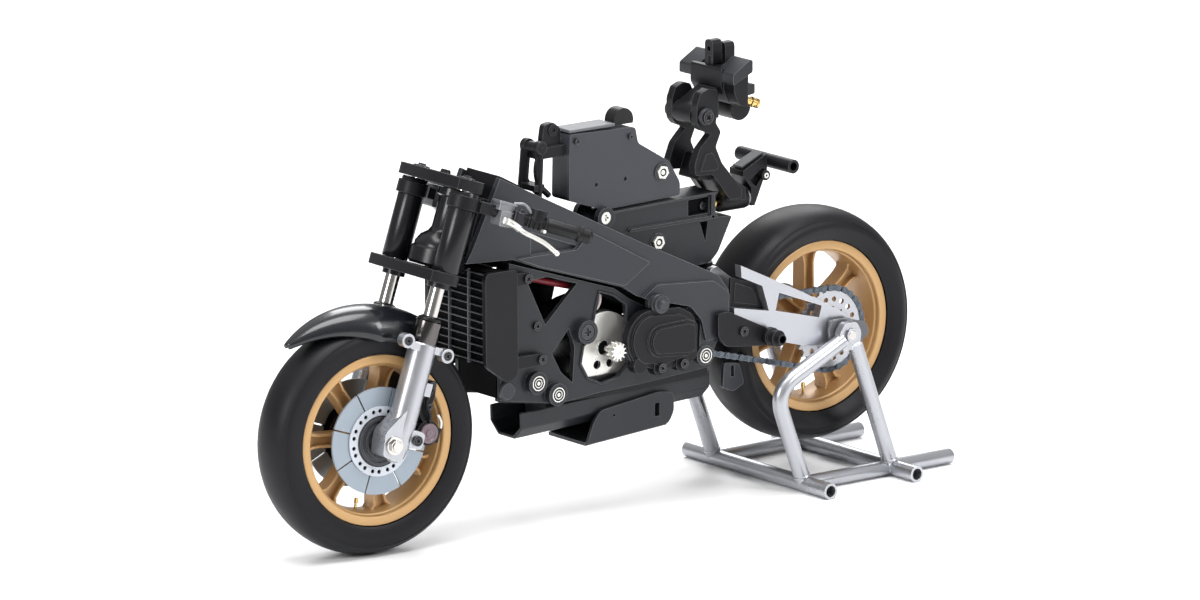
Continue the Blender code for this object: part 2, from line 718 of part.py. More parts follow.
def cowl_stay():
    """Forked stay ahead of the servo case that carries the windscreen."""
    near = rod((26.2, 3.4, 107.2), (25.4, 3.4, 123.4), 1.3, 14)
    far = rod((27.2, -3.4, 109.0), (26.0, -3.4, 122.0), 1.7, 14)
    bridge = rod((25.6, -4.6, 122.6), (25.4, 4.6, 123.0), 1.9, 16)
    arm = span_box((14.9, -2.6, 119.0), (25.6, 2.6, 122.6))
    lug = slab(rounded([(23.4, 121.0), (22.0, 129.6), (18.4, 130.2), (15.4, 127.8), (15.4, 121.0)], 1.0),
               -1.2, 1.2)
    foot = span_box((24.4, -4.4, 109.2), (28.4, 4.4, 111.2))
    part("cowl_stay", BLACK, [near, far, bridge, arm, lug, foot])


def seat_rail():
    top = slab(
        [(-57.6, 104.6), (-67.4, 109.0), (-67.5, 103.6), (-66.0, 100.6), (-62.4, 92.6),
         (-61.0, 92.6), (-61.0, 98.6), (-57.6, 102.8)],
        -3.6, 3.6,
    )
    bore = cylinder(1.9, 8.0, (-62.0, 0, HIP_AXIS.z), "X", sides=16)
    notch = slab([(-63.0, 98.6), (-60.0, 101.2), (-66.0, 104.6), (-66.6, 103.4)], 1.8, 4.0)
    part("seat_rail", BLACK, [top], [bore, notch])
    tube = cylinder(2.3, 28.0, TAIL_TUBE)
    ends = [cylinder(1.4, 6.0, (TAIL_TUBE.x, y, TAIL_TUBE.z), sides=12) for y in (-14.0, 14.0)]
    part("tail_tube", BLACK, [tube], ends)


def peg(side, is_left):
    plate = slab(
        rounded([(-34.0, 63.4), (-38.2, 63.6), (-45.1, 60.4), (-54.6, 55.8), (-57.4, 53.2),
                 (-55.2, 50.0), (-44.6, 51.2), (-37.4, 52.0), (-34.0, 55.8)], 1.2),
        18.9, 20.4,
    )
    rest = cylinder(2.6, 7.2, (-55.0, 23.8, 53.2), "Y", 1.6, 16)
    part(f"foot_peg_{side}", BLACK, [sided(s, is_left) for s in (plate, rest)])


# Rider's hip mount


def hip_mount(swing, pitch):
    """Column that leans from side to side, and the yoke that nods on top of it."""
    from_swing, from_pitch = -HIP_AXIS, -HIP_TOP_AXIS
    column = slab(
        [(-37.0, 103.2), (-40.6, 112.4), (-36.8, 120.8), (-34.9, 125.9), (-37.0, 128.9),
         (-40.6, 128.6), (-43.6, 123.6), (-49.8, 120.8), (-46.0, 115.6), (-46.2, 111.6),
         (-49.3, 107.6), (-56.2, 98.6), (-56.2, 95.4), (-50.7, 95.4), (-47.4, 103.2)],
        -4.6, 4.6,
    )
    hub = cylinder(3.2, 11.0, (-54.9, 0, HIP_AXIS.z), "X")
    bore = cylinder(1.6 + GAP, 20.0, (-54.9, 0, HIP_AXIS.z), "X", sides=16)
    pin = cylinder(1.4, 18.4, HIP_TOP_AXIS, sides=16)
    heads = [cylinder(2.4, 1.6, (HIP_TOP_AXIS.x, y, HIP_TOP_AXIS.z), sides=16) for y in (-9.2, 9.2)]
    adds = [moved(s, from_swing) for s in (column, hub, pin, *heads)]
    part("hip_column", BLACK, adds, [moved(bore, from_swing)], parent=swing)

    ear = slab(
        [(-35.3, 123.6), (-34.9, 130.2), (-36.6, 133.6), (-39.4, 134.8), (-46.0, 134.8),
         (-46.0, 126.4), (-41.6, 123.2), (-38.0, 122.0)],
        5.0, 8.0,
    )
    wing = slab([(-45.8, 136.0), (-45.8, 139.4), (-52.4, 143.8), (-52.6, 140.0)], 5.2, 14.0)
    left_block = span_box((-51.6, 4.6, 128.2), (-45.8, 13.4, 138.0))
    body = span_box((-56.0, -8.0, 128.4), (-44.4, 8.0, 140.6))
    drum = cylinder(4.2, 9.0, (-55.0, 1.0, 126.2))
    buckle = [
        span_box((-50.2, -2.6, 139.0), (-46.2, 1.6, 148.8)),
        span_box((-54.8, -2.2, 139.0), (-50.0, 2.4, 147.6)),
    ]
    pin_hole = cylinder(1.4 + GAP, 24.0, HIP_TOP_AXIS, sides=16)
    adds = [body, ear, mirrored(ear), wing, mirrored(wing), left_block, drum, *buckle]
    adds = [moved(s, from_pitch) for s in adds]
    part("hip_yoke", BLACK, adds, [moved(pin_hole, from_pitch)], parent=pitch)


def hip_shaft():
    flange = cylinder(3.0, 1.6, (-46.4, 0, HIP_AXIS.z), "X")
    nose = cylinder(2.3, 5.0, (-43.6, 0, HIP_AXIS.z), "X")
    shaft = cylinder(1.6, 18.4, (-54.2, 0, HIP_AXIS.z), "X", sides=16)
    part("hip_shaft", BRASS, [flange, nose, shaft])


# Rear suspension


def swingarm(pivot):
    """Drawn in the bike's own frame, then moved to the pivot."""
    arm_outline = [
        (-44.7, 77.6), (-70.6, 65.2), (-86.4, 56.8), (-91.4, 52.6), (-91.8, 46.4), (-83.3, 45.4),
        (-70.7, 47.4), (-62.3, 49.8), (-54.0, 54.0), (-42.0, 60.0), (-42.0, 63.9), (-56.4, 61.0),
        (-53.6, 69.6), (-45.0, 73.6),
    ]
    window = [(-60.6, 66.4), (-59.2, 60.6), (-77.4, 55.8), (-78.4, 59.6)]
    arms = []
    for low in (-18.6, 15.4):
        arms.append(slab(arm_outline, low, low + 3.2, "Y", [window]))
    barrel = cylinder(3.4, 23.0, SWING_PIVOT)
    bolt = cylinder(1.5, 29.4, SWING_PIVOT, sides=16)
    web = span_box((-45.6, -9.0, 57.6), (-36.0, 9.0, 61.2))
    cross = span_box((-46.2, -17.0, 56.6), (-42.2, 17.0, 61.4))
    lug_outline = [(-39.2, 72.8), (-40.4, 75.4), (-42.8, 75.8), (-49.4, 70.8), (-46.4, 60.8), (-42.6, 60.8)]
    lug = slab(lug_outline, 6.4, 8.6)
    adds = [barrel, bolt, web, cross, lug, mirrored(lug), *arms]
    cuts = [cylinder(REAR_PIN + GAP, 60.0, REAR_AXLE, sides=16)]
    back = -SWING_PIVOT
    part("swingarm", SILVER, [moved(s, back) for s in adds], [moved(s, back) for s in cuts], parent=pivot)
    part("rear_axle", STEEL, [moved(cylinder(REAR_PIN, 51.6, REAR_AXLE, sides=16), back)], parent=pivot)
    for_sides(chain_adjuster, pivot)
    chain(pivot)
    rod_shape = cylinder(1.0, 10.6, (-44.2, 0, 67.0), "Z", sides=14)
    part("shock_rod", STEEL, [moved(rod_shape, back)], parent=pivot)


def rear_shock():
    body = cylinder(2.9, 6.0, (-44.2, 0, 72.9), "Z", sides=16)
    bore = cylinder(1.9, 10.0, (-44.2, 0, 69.0), "Z", sides=14)
    part("shock_body", BLACK, [body], [bore])
    coil = turned([(1.6, 62.0), (2.8, 62.0), (2.8, 69.6), (1.6, 69.6)], (-44.2, 0, 0), "Z", 16)
    part("shock_spring", STEEL, [coil])


def chain_adjuster(side, is_left, pivot):
    outline = rounded(
        [(-80.6, 54.4), (-89.0, 54.0), (-96.0, 52.0), (-97.2, 48.2), (-92.8, 44.8), (-80.6, 45.6)], 1.0
    )
    plate = slab(outline, 18.9, 20.2, "Y", [circle((REAR_AXLE.x, REAR_AXLE.z), REAR_PIN + GAP, 16)])
    back = Matrix.Translation(-SWING_PIVOT)
    plate = sided(plate, is_left)
    bmesh.ops.transform(plate, matrix=back, verts=plate.verts)
    part(f"chain_adjuster_{side}", GREY, [plate], parent=pivot)


def chain_loop(rear_radius, front_radius, count=8):
    """Outline of a belt around the rear and the drive sprocket."""
    rear = Vector((REAR_AXLE.x, REAR_AXLE.z))
    front = Vector((OUTPUT_AXIS.x, OUTPUT_AXIS.z))
    along = front - rear
    tilt = math.degrees(math.atan2(along.y, along.x))
    lean = math.degrees(math.asin((rear_radius - front_radius) / along.length))
    return circle(rear, rear_radius, count * 2, tilt + 90 - lean, 180 + 2 * lean) + circle(
        front, front_radius, count, tilt - 90 + lean, 180 - 2 * lean
    )


def chain(pivot):
    loop = slab(chain_loop(*CHAIN_OUTER), *CHAIN_Y, "Y", [chain_loop(*CHAIN_INNER)])
    part("chain", GREY, [moved(loop, -SWING_PIVOT)], parent=pivot)


# Paddock stand


def paddock_stand(axle):
    """Welded tube stand, drawn in the bike's own frame and hung on the rear axle."""
    front_x, rear_x, end_x = -67.4, -104.4, -129.4
    low = STAND_TUBE
    cross_bars = ((front_x, 37.3), (rear_x, 36.5))
    tubes = [cylinder(STAND_TUBE, 2 * half, (x, 0, low), sides=16) for x, half in cross_bars]
    hooks = []
    for y in (-STAND_Y, STAND_Y):
        knee = (-55.3, y, 35.2)
        tubes.append(rod((front_x + 0.7, y, low), (end_x, y, low), STAND_TUBE - 0.1))
        tubes.append(rod((front_x, y, low), knee, STAND_TUBE - 0.05))
        tubes.append(rod(knee, (-82.0, y, 47.6), STAND_TUBE - 0.05))
        tubes.append(rod((rear_x, y, low), (-88.4, y, 47.0), STAND_TUBE - 0.05))
        ball = bmesh.new()
        bmesh.ops.create_uvsphere(ball, u_segments=12, v_segments=6, radius=STAND_TUBE)
        hooks.append(moved(ball, knee))
        hooks.append(cylinder(4.3, 4.6, (REAR_AXLE.x, y, REAR_AXLE.z), sides=16))
    bores = [
        cylinder(1.9, 12.0, (x, y, low), sides=12)
        for x, half in cross_bars
        for y in (-half, half)
    ]
    bores.append(cylinder(REAR_PIN + GAP, 60.0, REAR_AXLE, sides=16))
    back = -REAR_AXLE
    adds = [moved(s, back) for s in tubes + hooks]
    cuts = [moved(s, back) for s in bores]
    part("paddock_stand", SILVER, adds, cuts, parent=axle, solver="MANIFOLD")


# Assembly


def build():
    rake = Matrix.Rotation(math.radians(-RAKE), 4, "Y")
    steer = Matrix.Rotation(math.radians(STEER), 4, "Z")
    steering = empty("steering_axis", STEM_FOOT, rake @ steer)
    slide = empty("fork_slide", (0, 0, 0), parent=steering)
    front = empty("front_wheel_axis", (STEM_OFFSET, 0, 0), parent=slide)
    swing = empty("swingarm_axis", SWING_PIVOT)
    rear = empty("rear_wheel_axis", REAR_AXLE - SWING_PIVOT, parent=swing)
    stand = empty("stand_axis", REAR_AXLE - SWING_PIVOT, parent=swing)
    hip_swing = empty("hip_swing_axis", HIP_AXIS)
    hip_pitch = empty("hip_pitch_axis", HIP_TOP_AXIS - HIP_AXIS, parent=hip_swing)
    motor_shaft = empty("motor_axis", MOTOR_AXIS)
    spur_shaft = empty("spur_axis", SPUR_AXIS)
    output_shaft = empty("output_axis", OUTPUT_AXIS)

    triple_clamps(steering)
    for_sides(fork_leg, steering, slide)
    for_sides(handlebar, steering)
    front_axle(slide)
    for_sides(caliper, slide)
    fender(slide)
    front_wheel(front)
    frame_head()
    for_sides(spar)
    for_sides(engine_plate)
    belly_pan()
    battery()
    lower_bracket()
    radiator()
    motor()
    motor_wires()
    gear_case()
    drive_gears(motor_shaft, spur_shaft, output_shaft)
    upper_frame()
    servo_case()
    cowl_stay()
    seat_rail()
    for_sides(peg)
    hip_mount(hip_swing, hip_pitch)
    hip_shaft()
    swingarm(swing)
    rear_shock()
    rear_wheel(rear)
    paddock_stand(stand)


build()
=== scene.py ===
import json
import math

import bmesh
import bpy
from mathutils import Matrix, Vector

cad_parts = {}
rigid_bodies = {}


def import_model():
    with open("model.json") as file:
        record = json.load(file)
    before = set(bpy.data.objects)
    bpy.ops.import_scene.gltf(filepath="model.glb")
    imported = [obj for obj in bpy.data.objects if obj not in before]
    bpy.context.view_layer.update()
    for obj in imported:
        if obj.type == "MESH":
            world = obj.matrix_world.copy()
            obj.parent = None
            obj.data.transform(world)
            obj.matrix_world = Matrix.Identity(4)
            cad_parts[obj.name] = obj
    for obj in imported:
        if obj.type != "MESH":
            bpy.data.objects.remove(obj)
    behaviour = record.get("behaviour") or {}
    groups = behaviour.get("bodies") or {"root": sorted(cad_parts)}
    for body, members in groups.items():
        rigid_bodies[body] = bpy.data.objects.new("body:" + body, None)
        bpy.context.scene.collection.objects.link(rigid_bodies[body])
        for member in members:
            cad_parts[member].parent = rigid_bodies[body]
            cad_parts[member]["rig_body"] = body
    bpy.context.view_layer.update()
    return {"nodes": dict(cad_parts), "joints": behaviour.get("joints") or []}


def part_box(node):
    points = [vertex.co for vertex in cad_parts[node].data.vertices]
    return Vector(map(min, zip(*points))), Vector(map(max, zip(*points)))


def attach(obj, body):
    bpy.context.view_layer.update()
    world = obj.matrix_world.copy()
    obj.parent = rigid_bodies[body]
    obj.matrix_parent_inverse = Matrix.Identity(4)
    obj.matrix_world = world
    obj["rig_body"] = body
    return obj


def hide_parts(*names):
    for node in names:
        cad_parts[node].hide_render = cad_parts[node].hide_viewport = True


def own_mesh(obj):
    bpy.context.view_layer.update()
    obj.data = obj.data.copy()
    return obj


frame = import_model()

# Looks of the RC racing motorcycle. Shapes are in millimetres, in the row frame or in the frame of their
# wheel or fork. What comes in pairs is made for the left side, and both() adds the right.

MM = 0.001
SHARP_ANGLE = 35.0

# Camera, from the left front of the bike.
AZIMUTH = 37.94
ELEVATION = 12.9
DISTANCE = 3.2174
TARGET = Vector((-0.0015, 0.0, 0.06895))
LENS = 300.0
SENSOR = 36.0
FAR_CLIP = 40.0
FLOOR_REACH = 12.0
# Softboxes: name, place in metres, size in metres, power in watts.
LIGHTS = (
    ("top_softbox", (0.1, 0.15, 1.6), 1.1, 26.0),
    ("front_softbox", (1.4, 0.2, 0.7), 0.5, 9.0),
    ("side_softbox", (-0.7, 1.4, 0.9), 0.6, 12.0),
    ("back_softbox", (-0.9, -1.1, 1.0), 0.8, 10.0),
)
# Brightness of the sky from the horizon, at 0, to straight up, at 1.
SKY_LEVELS = ((0.0, 0.5), (0.1, 0.22), (0.45, 0.5), (1.0, 0.75))

# Sizes that the solids and these pieces share.
SPOKES = 7
REAR_SPROCKET_TEETH, PINION_TEETH = 27, 12
STEM_OFFSET = 9.3
TUBE_X, TUBE_Y, OUTER_TUBE_Y = 6.0, 13.5, 15.2
FRONT_TYRE, REAR_TYRE = (37.6, 8.8), (38.8, 11.5)
FRONT_RIM, REAR_RIM = (27.6, 7.2), (28.4, 8.2)
STAND_Y, STAND_TUBE, STAND_BORE = 23.3, 2.65, 1.9
CHAIN_MIDDLE_Y = 13.2
CHAIN_RADII = (13.6, 5.7)
CHAIN_LINKS = 64
MOTOR_WINDOW = (
    (10.9, 65.6), (9.4, 71.4), (8.4, 75.4), (2.6, 73.4), (-2.6, 69.6), (-4.0, 50.0), (0.5, 46.2),
    (7.5, 44.8), (13.2, 47.6), (16.0, 52.5), (14.8, 58.4), (11.6, 60.4),
)
# Screws and lugs, as (x, z).
SHROUD_SCREWS = ((39.4, 84.4), (33.8, 57.2))
GEARBOX_SCREW = (14.6, 63.2)
CASE_LUGS = ((-11.5, 48.6), (-20.5, 48.8), (-3.4, 50.4))
CARRIER_SCREW = (1.0, 97.4)
BAR_START = Vector((3.0, 16.4, 80.0))
BAR_END = Vector((-33.4, 32.0, 79.3))


# Frames of the moving parts


def joint(name):
    return next(j for j in frame["joints"] if j["name"] == name)


def place_of(name):
    """A joint's point in millimetres."""
    return Vector(joint(name)["pos_m"]) / MM


def steered_frame(position):
    """Axes of the fork: +Z up the steering axis and +Y along the front axle."""
    up = Vector(joint("steering")["axis"]).normalized()
    left = Vector(joint("front_wheel_spin")["axis"]).normalized()
    matrix = Matrix((left.cross(up), left, up)).transposed().to_4x4()
    matrix.translation = Vector(position)
    return matrix


ROW = Matrix.Identity(4)
FORK = steered_frame(joint("steering")["pos_m"])
FRONT_WHEEL = steered_frame(joint("front_wheel_spin")["pos_m"])
REAR_WHEEL = Matrix.Translation(Vector(joint("rear_wheel_spin")["pos_m"]))
REAR_AXLE = place_of("rear_wheel_spin")
OUTPUT_AXIS = place_of("output_spin")
MOTOR_AXIS = place_of("pinion_spin")
HIP_TOP_AXIS = place_of("hip_nod")
HIP_AXIS = place_of("hip_lean")


# Materials


def surface(name, colour, roughness, metallic=0.0, grain=2600.0, bump=0.12, spread=0.06, shade=0.12, edge=0.0,
            coat=0.0, specular=0.5):
    """Plastic, metal or rubber: fine grain in its bump, and slow changes of colour and of gloss.

    With an edge value, the rims of the shape are painted lighter: a painted highlight along the edges.
    """
    material = bpy.data.materials.new(name)
    material.use_nodes = True
    tree = material.node_tree
    shader = tree.nodes["Principled BSDF"]
    shader.inputs["Metallic"].default_value = metallic
    shader.inputs["Specular IOR Level"].default_value = specular
    shader.inputs["Coat Weight"].default_value = coat
    shader.inputs["Coat Roughness"].default_value = 0.08
    place = tree.nodes.new("ShaderNodeTexCoord")
    slow = tree.nodes.new("ShaderNodeTexNoise")
    slow.inputs["Scale"].default_value = 55.0
    slow.inputs["Detail"].default_value = 4.0
    fine = tree.nodes.new("ShaderNodeTexNoise")
    fine.inputs["Scale"].default_value = grain
    fine.inputs["Detail"].default_value = 3.0
    for noise in (slow, fine):
        tree.links.new(place.outputs["Object"], noise.inputs["Vector"])
    gloss = tree.nodes.new("ShaderNodeMapRange")
    gloss.inputs["From Min"].default_value = 0.3
    gloss.inputs["From Max"].default_value = 0.7
    gloss.inputs["To Min"].default_value = roughness - spread
    gloss.inputs["To Max"].default_value = roughness + spread
    tree.links.new(slow.outputs["Fac"], gloss.inputs["Value"])
    tree.links.new(gloss.outputs["Result"], shader.inputs["Roughness"])
    tint = tree.nodes.new("ShaderNodeMix")
    tint.data_type = "RGBA"
    tint.inputs["A"].default_value = (*(c * (1 - shade) for c in colour), 1.0)
    tint.inputs["B"].default_value = (*(min(c * (1 + shade), 1.0) for c in colour), 1.0)
    tree.links.new(slow.outputs["Fac"], tint.inputs["Factor"])
    colour_out = tint.outputs["Result"]
    # Painted highlight: the rims of the shape are made lighter in the colour itself.
    if edge:
        colour_out = painted_edge_highlights(tree, colour_out, colour, edge)
    tree.links.new(colour_out, shader.inputs["Base Color"])
    relief = tree.nodes.new("ShaderNodeBump")
    relief.inputs["Strength"].default_value = bump
    relief.inputs["Distance"].default_value = 0.0001
    tree.links.new(fine.outputs["Fac"], relief.inputs["Height"])
    tree.links.new(relief.outputs["Normal"], shader.inputs["Normal"])
    return material


def painted_edge_highlights(tree, colour_in, colour, edge):
    """Painted highlight: colour that is lighter where the surface turns sharply."""
    rounded_normal = tree.nodes.new("ShaderNodeBevel")
    rounded_normal.samples = 4
    rounded_normal.inputs["Radius"].default_value = 0.00035
    geometry = tree.nodes.new("ShaderNodeNewGeometry")
    likeness = tree.nodes.new("ShaderNodeVectorMath")
    likeness.operation = "DOT_PRODUCT"
    tree.links.new(rounded_normal.outputs["Normal"], likeness.inputs[0])
    tree.links.new(geometry.outputs["Normal"], likeness.inputs[1])
    highlight_mask = tree.nodes.new("ShaderNodeMapRange")
    highlight_mask.inputs["From Min"].default_value = 0.995
    highlight_mask.inputs["From Max"].default_value = 0.86
    highlight_mask.inputs["To Min"].default_value = 0.0
    highlight_mask.inputs["To Max"].default_value = 1.0
    tree.links.new(likeness.outputs["Value"], highlight_mask.inputs["Value"])
    light = tree.nodes.new("ShaderNodeMix")
    light.data_type = "RGBA"
    light.inputs["B"].default_value = (*(min(c + edge, 1.0) for c in colour), 1.0)
    tree.links.new(highlight_mask.outputs["Result"], light.inputs["Factor"])
    tree.links.new(colour_in, light.inputs["A"])
    return light.outputs["Result"]


# name: (material, record slot)
LOOKS = {
    "nylon": (surface("moulded_nylon", (0.007, 0.007, 0.009), 0.42, bump=0.18, edge=0.08, specular=0.22),
              "black_nylon"),
    # smooth and plate are lighter copies of the same black nylon, in the same record slot. This is partly
    # their smoother finish and partly painted light: the lighter colour stands in for how much brighter these
    # panels are lit than parts in moulded_nylon.
    "smooth": (surface("smooth_black_painted_light", (0.022, 0.025, 0.031), 0.34, bump=0.1, edge=0.16, specular=0.36),
               "black_nylon"),
    "plate": (surface("plate_black_painted_light", (0.016, 0.018, 0.022), 0.38, bump=0.12, edge=0.12, specular=0.32),
              "black_nylon"),
    "gloss": (surface("glossy_tube", (0.006, 0.006, 0.008), 0.24, bump=0.04, specular=0.4), "black_nylon"),
    "dark": (surface("shadow_black", (0.003, 0.003, 0.004), 0.8, bump=0.1, specular=0.1), "black_nylon"),
    "fender": (surface("polished_black", (0.006, 0.007, 0.01), 0.26, bump=0.02, spread=0.04, coat=0.3),
               "gloss_black"),
    "case": (surface("servo_grey", (0.034, 0.037, 0.046), 0.38, bump=0.15, edge=0.08, specular=0.4),
             "grey_plastic"),
    "alloy": (surface("grey_alloy", (0.2, 0.205, 0.22), 0.36, 0.5, bump=0.1, edge=0.2), "grey_plastic"),
    "grey": (surface("mid_grey", (0.1, 0.104, 0.115), 0.4, bump=0.12, edge=0.12), "grey_plastic"),
    "tyre": (surface("slick_rubber", (0.006, 0.006, 0.008), 0.44, grain=1500.0, bump=0.2, spread=0.08,
                     specular=0.22),
             "tyre_rubber"),
    "gold": (surface("gold_paint", (0.53, 0.32, 0.135), 0.38, 0.2, grain=4200.0, bump=0.08, shade=0.08,
                     edge=0.12),
             "gold_wheel"),
    "silver": (surface("satin_silver", (0.44, 0.45, 0.48), 0.3, 0.85, grain=3600.0, bump=0.1, edge=0.3),
               "silver_alloy"),
    "steel": (surface("polished_steel", (0.56, 0.54, 0.52), 0.13, 1.0, bump=0.02, spread=0.04),
              "polished_steel"),
    "bright": (surface("bright_zinc", (0.74, 0.73, 0.69), 0.28, 0.7, bump=0.05, edge=0.2), "polished_steel"),
    "blacked": (surface("polished_collar", (0.12, 0.11, 0.11), 0.12, 1.0, bump=0.02), "polished_steel"),
    "screw": (surface("blackened_steel", (0.02, 0.02, 0.024), 0.28, 0.6, bump=0.05, edge=0.16),
              "black_nylon"),
    "disc": (surface("disc_steel", (0.3, 0.35, 0.4), 0.36, 0.5, grain=3000.0, bump=0.1), "disc_steel"),
    "carrier": (surface("disc_carrier", (0.56, 0.59, 0.64), 0.4, 0.4, bump=0.06), "disc_steel"),
    "hub": (surface("dark_hub", (0.035, 0.037, 0.043), 0.34, 0.3, bump=0.08, edge=0.1), "grey_plastic"),
    "chain": (surface("blued_steel", (0.07, 0.085, 0.105), 0.3, 0.75, bump=0.08, edge=0.16), "chain_steel"),
    "brass": (surface("turned_brass", (0.72, 0.52, 0.2), 0.22, 1.0, bump=0.03), "brass"),
    "red": (surface("red_insulation", (0.2, 0.01, 0.02), 0.36, bump=0.05), "red_wire"),
    "pale": (surface("pale_insulation", (0.6, 0.52, 0.52), 0.4, bump=0.05), "red_wire"),
    "piston": (surface("brake_piston", (0.17, 0.12, 0.14), 0.33, 0.4, bump=0.06, edge=0.15), "disc_steel"),
    "rubber": (surface("soft_rubber", (0.007, 0.007, 0.008), 0.4, bump=0.12, specular=0.3), "soft_rubber"),
}


# Shapes, each a bmesh in millimetres


AXIS_ROTATION = {
    "X": Matrix.Rotation(math.pi / 2, 4, "Y"),
    "Y": Matrix.Rotation(-math.pi / 2, 4, "X"),
    "Z": Matrix.Identity(4),
}
SLAB_ROTATION = {
    "X": Matrix(((0, 0, 1, 0), (1, 0, 0, 0), (0, 1, 0, 0), (0, 0, 0, 1))),
    "Y": Matrix(((1, 0, 0, 0), (0, 0, -1, 0), (0, 1, 0, 0), (0, 0, 0, 1))),
    "Z": Matrix.Identity(4),
}
UNIT = {"X": Vector((1, 0, 0)), "Y": Vector((0, 1, 0)), "Z": Vector((0, 0, 1))}


def moved(shape, location=(0, 0, 0), rotation=None):
    """Turn a shape, then shift it."""
    matrix = Matrix.Translation(Vector(location))
    if rotation is not None:
        matrix = matrix @ rotation
    bmesh.ops.transform(shape, matrix=matrix, verts=shape.verts)
    return shape


def span_box(low, high):
    low, high = Vector(low), Vector(high)
    shape = bmesh.new()
    bmesh.ops.create_cube(shape, size=1.0)
    bmesh.ops.scale(shape, vec=high - low, verts=shape.verts)
    return moved(shape, (low + high) / 2)


def cylinder(radius, length, centre, axis="Y", top_radius=None, sides=40):
    shape = bmesh.new()
    top = radius if top_radius is None else top_radius
    bmesh.ops.create_cone(shape, cap_ends=True, segments=sides, radius1=radius, radius2=top, depth=length)
    return moved(shape, centre, AXIS_ROTATION[axis])


def polar(radius, degrees):
    """Point at a radius and an angle."""
    return (radius * math.cos(math.radians(degrees)), radius * math.sin(math.radians(degrees)))


def circle(centre, radius, count=32, start=0.0, sweep=360.0):
    """Points of a circle, or of an arc that sweeps less than a full turn."""
    steps = count if sweep == 360.0 else count - 1
    turns = (start + sweep * i / steps for i in range(count))
    return [(centre[0] + x, centre[1] + y) for x, y in (polar(radius, turn) for turn in turns)]


def rounded(points, radius, steps=5):
    """Outline whose corners are replaced by arcs of about this radius."""
    outline = []
    for i, corner in enumerate(points):
        here = Vector(corner)
        before = Vector(points[i - 1]) - here
        after = Vector(points[(i + 1) % len(points)]) - here
        reach = min(radius, before.length * 0.45, after.length * 0.45)
        first = here + before.normalized() * reach
        last = here + after.normalized() * reach
        for k in range(steps + 1):
            t = k / steps
            outline.append(tuple(first * (1 - t) ** 2 + here * (2 * t * (1 - t)) + last * t**2))
    return outline


def evaluated_shape(holder):
    """Shape that a curve makes; the curve is thrown away."""
    bpy.context.scene.collection.objects.link(holder)
    graph = bpy.context.evaluated_depsgraph_get()
    mesh = bpy.data.meshes.new_from_object(holder.evaluated_get(graph))
    shape = bmesh.new()
    shape.from_mesh(mesh)
    bmesh.ops.remove_doubles(shape, verts=shape.verts, dist=0.001)
    bpy.data.objects.remove(holder, do_unlink=True)
    bpy.data.meshes.remove(mesh)
    return shape


def slab(outline, low, high, axis="Y", holes=()):
    """Flat outline, with holes, that is solid from low to high along an axis."""
    curve = bpy.data.curves.new("slab", "CURVE")
    curve.dimensions = "2D"
    curve.fill_mode = "BOTH"
    curve.extrude = (high - low) / 2
    for loop in (outline, *holes):
        spline = curve.splines.new("POLY")
        spline.points.add(len(loop) - 1)
        for point, place in zip(spline.points, loop):
            point.co = (place[0], place[1], 0.0, 1.0)
        spline.use_cyclic_u = True
    shape = evaluated_shape(bpy.data.objects.new("slab", curve))
    return moved(shape, UNIT[axis] * (low + high) / 2, SLAB_ROTATION[axis])


def tube(points, radius, sides=6):
    """Round bar through points."""
    curve = bpy.data.curves.new("tube", "CURVE")
    curve.dimensions = "3D"
    curve.bevel_depth = radius
    curve.bevel_resolution = sides
    curve.use_fill_caps = True
    spline = curve.splines.new("POLY")
    spline.points.add(len(points) - 1)
    for point, place in zip(spline.points, points):
        point.co = (*place, 1.0)
    return evaluated_shape(bpy.data.objects.new("tube", curve))


def smooth_path(points, steps=8):
    """Catmull-Rom run through given points."""
    places = [Vector(p) for p in points]
    places = [2 * places[0] - places[1], *places, 2 * places[-1] - places[-2]]
    path = []
    for a, b, c, d in zip(places, places[1:], places[2:], places[3:]):
        for k in range(steps):
            t = k / steps
            curve = (2 * a - 5 * b + 4 * c - d) * t**2 + (3 * b - a - 3 * c + d) * t**3
            path.append(0.5 * (2 * b + (c - a) * t + curve))
    return [*path, places[-2]]


def bend(start, corner, end, radius, steps=10):
    """Straight runs that meet in a round bend."""
    start, corner, end = Vector(start), Vector(corner), Vector(end)
    first = corner + (start - corner).normalized() * radius
    last = corner + (end - corner).normalized() * radius
    arc = []
    for k in range(steps + 1):
        t = k / steps
        arc.append(first * (1 - t) ** 2 + corner * (2 * t * (1 - t)) + last * t**2)
    return [start, *arc, end]


def turned(profile, centre=(0, 0, 0), axis="Y", steps=64):
    """Ring or disc turned from a closed profile of (radius, position along the axis)."""
    shape = bmesh.new()
    verts = [shape.verts.new((radius, 0.0, along)) for radius, along in profile]
    edges = [shape.edges.new((verts[i - 1], verts[i])) for i in range(len(verts))]
    bmesh.ops.spin(shape, geom=verts + edges, cent=(0, 0, 0), axis=(0, 0, 1), angle=2 * math.pi, steps=steps,
                   use_merge=True)
    bmesh.ops.remove_doubles(shape, verts=shape.verts, dist=0.0005)
    return moved(shape, centre, AXIS_ROTATION[axis])


def pipe(outer, inner, low, high, centre=(0, 0, 0), axis="Y", steps=48):
    """Round tube from low to high along an axis."""
    return turned([(inner, low), (outer, low), (outer, high), (inner, high)], centre, axis, steps)


def aimed(shape, start, direction):
    """Turn a shape's +Z to a direction, and put its origin at a point."""
    turn = Vector(direction).to_track_quat("Z", "Y").to_matrix().to_4x4()
    return moved(shape, start, turn)


def mirrored(shape):
    copy = shape.copy()
    bmesh.ops.scale(copy, vec=Vector((1, -1, 1)), verts=copy.verts)
    bmesh.ops.reverse_faces(copy, faces=copy.faces)
    return copy


def both(shapes):
    """Left shapes and their mirror images on the right."""
    return [*shapes, *(mirrored(s) for s in shapes)]


# Pieces


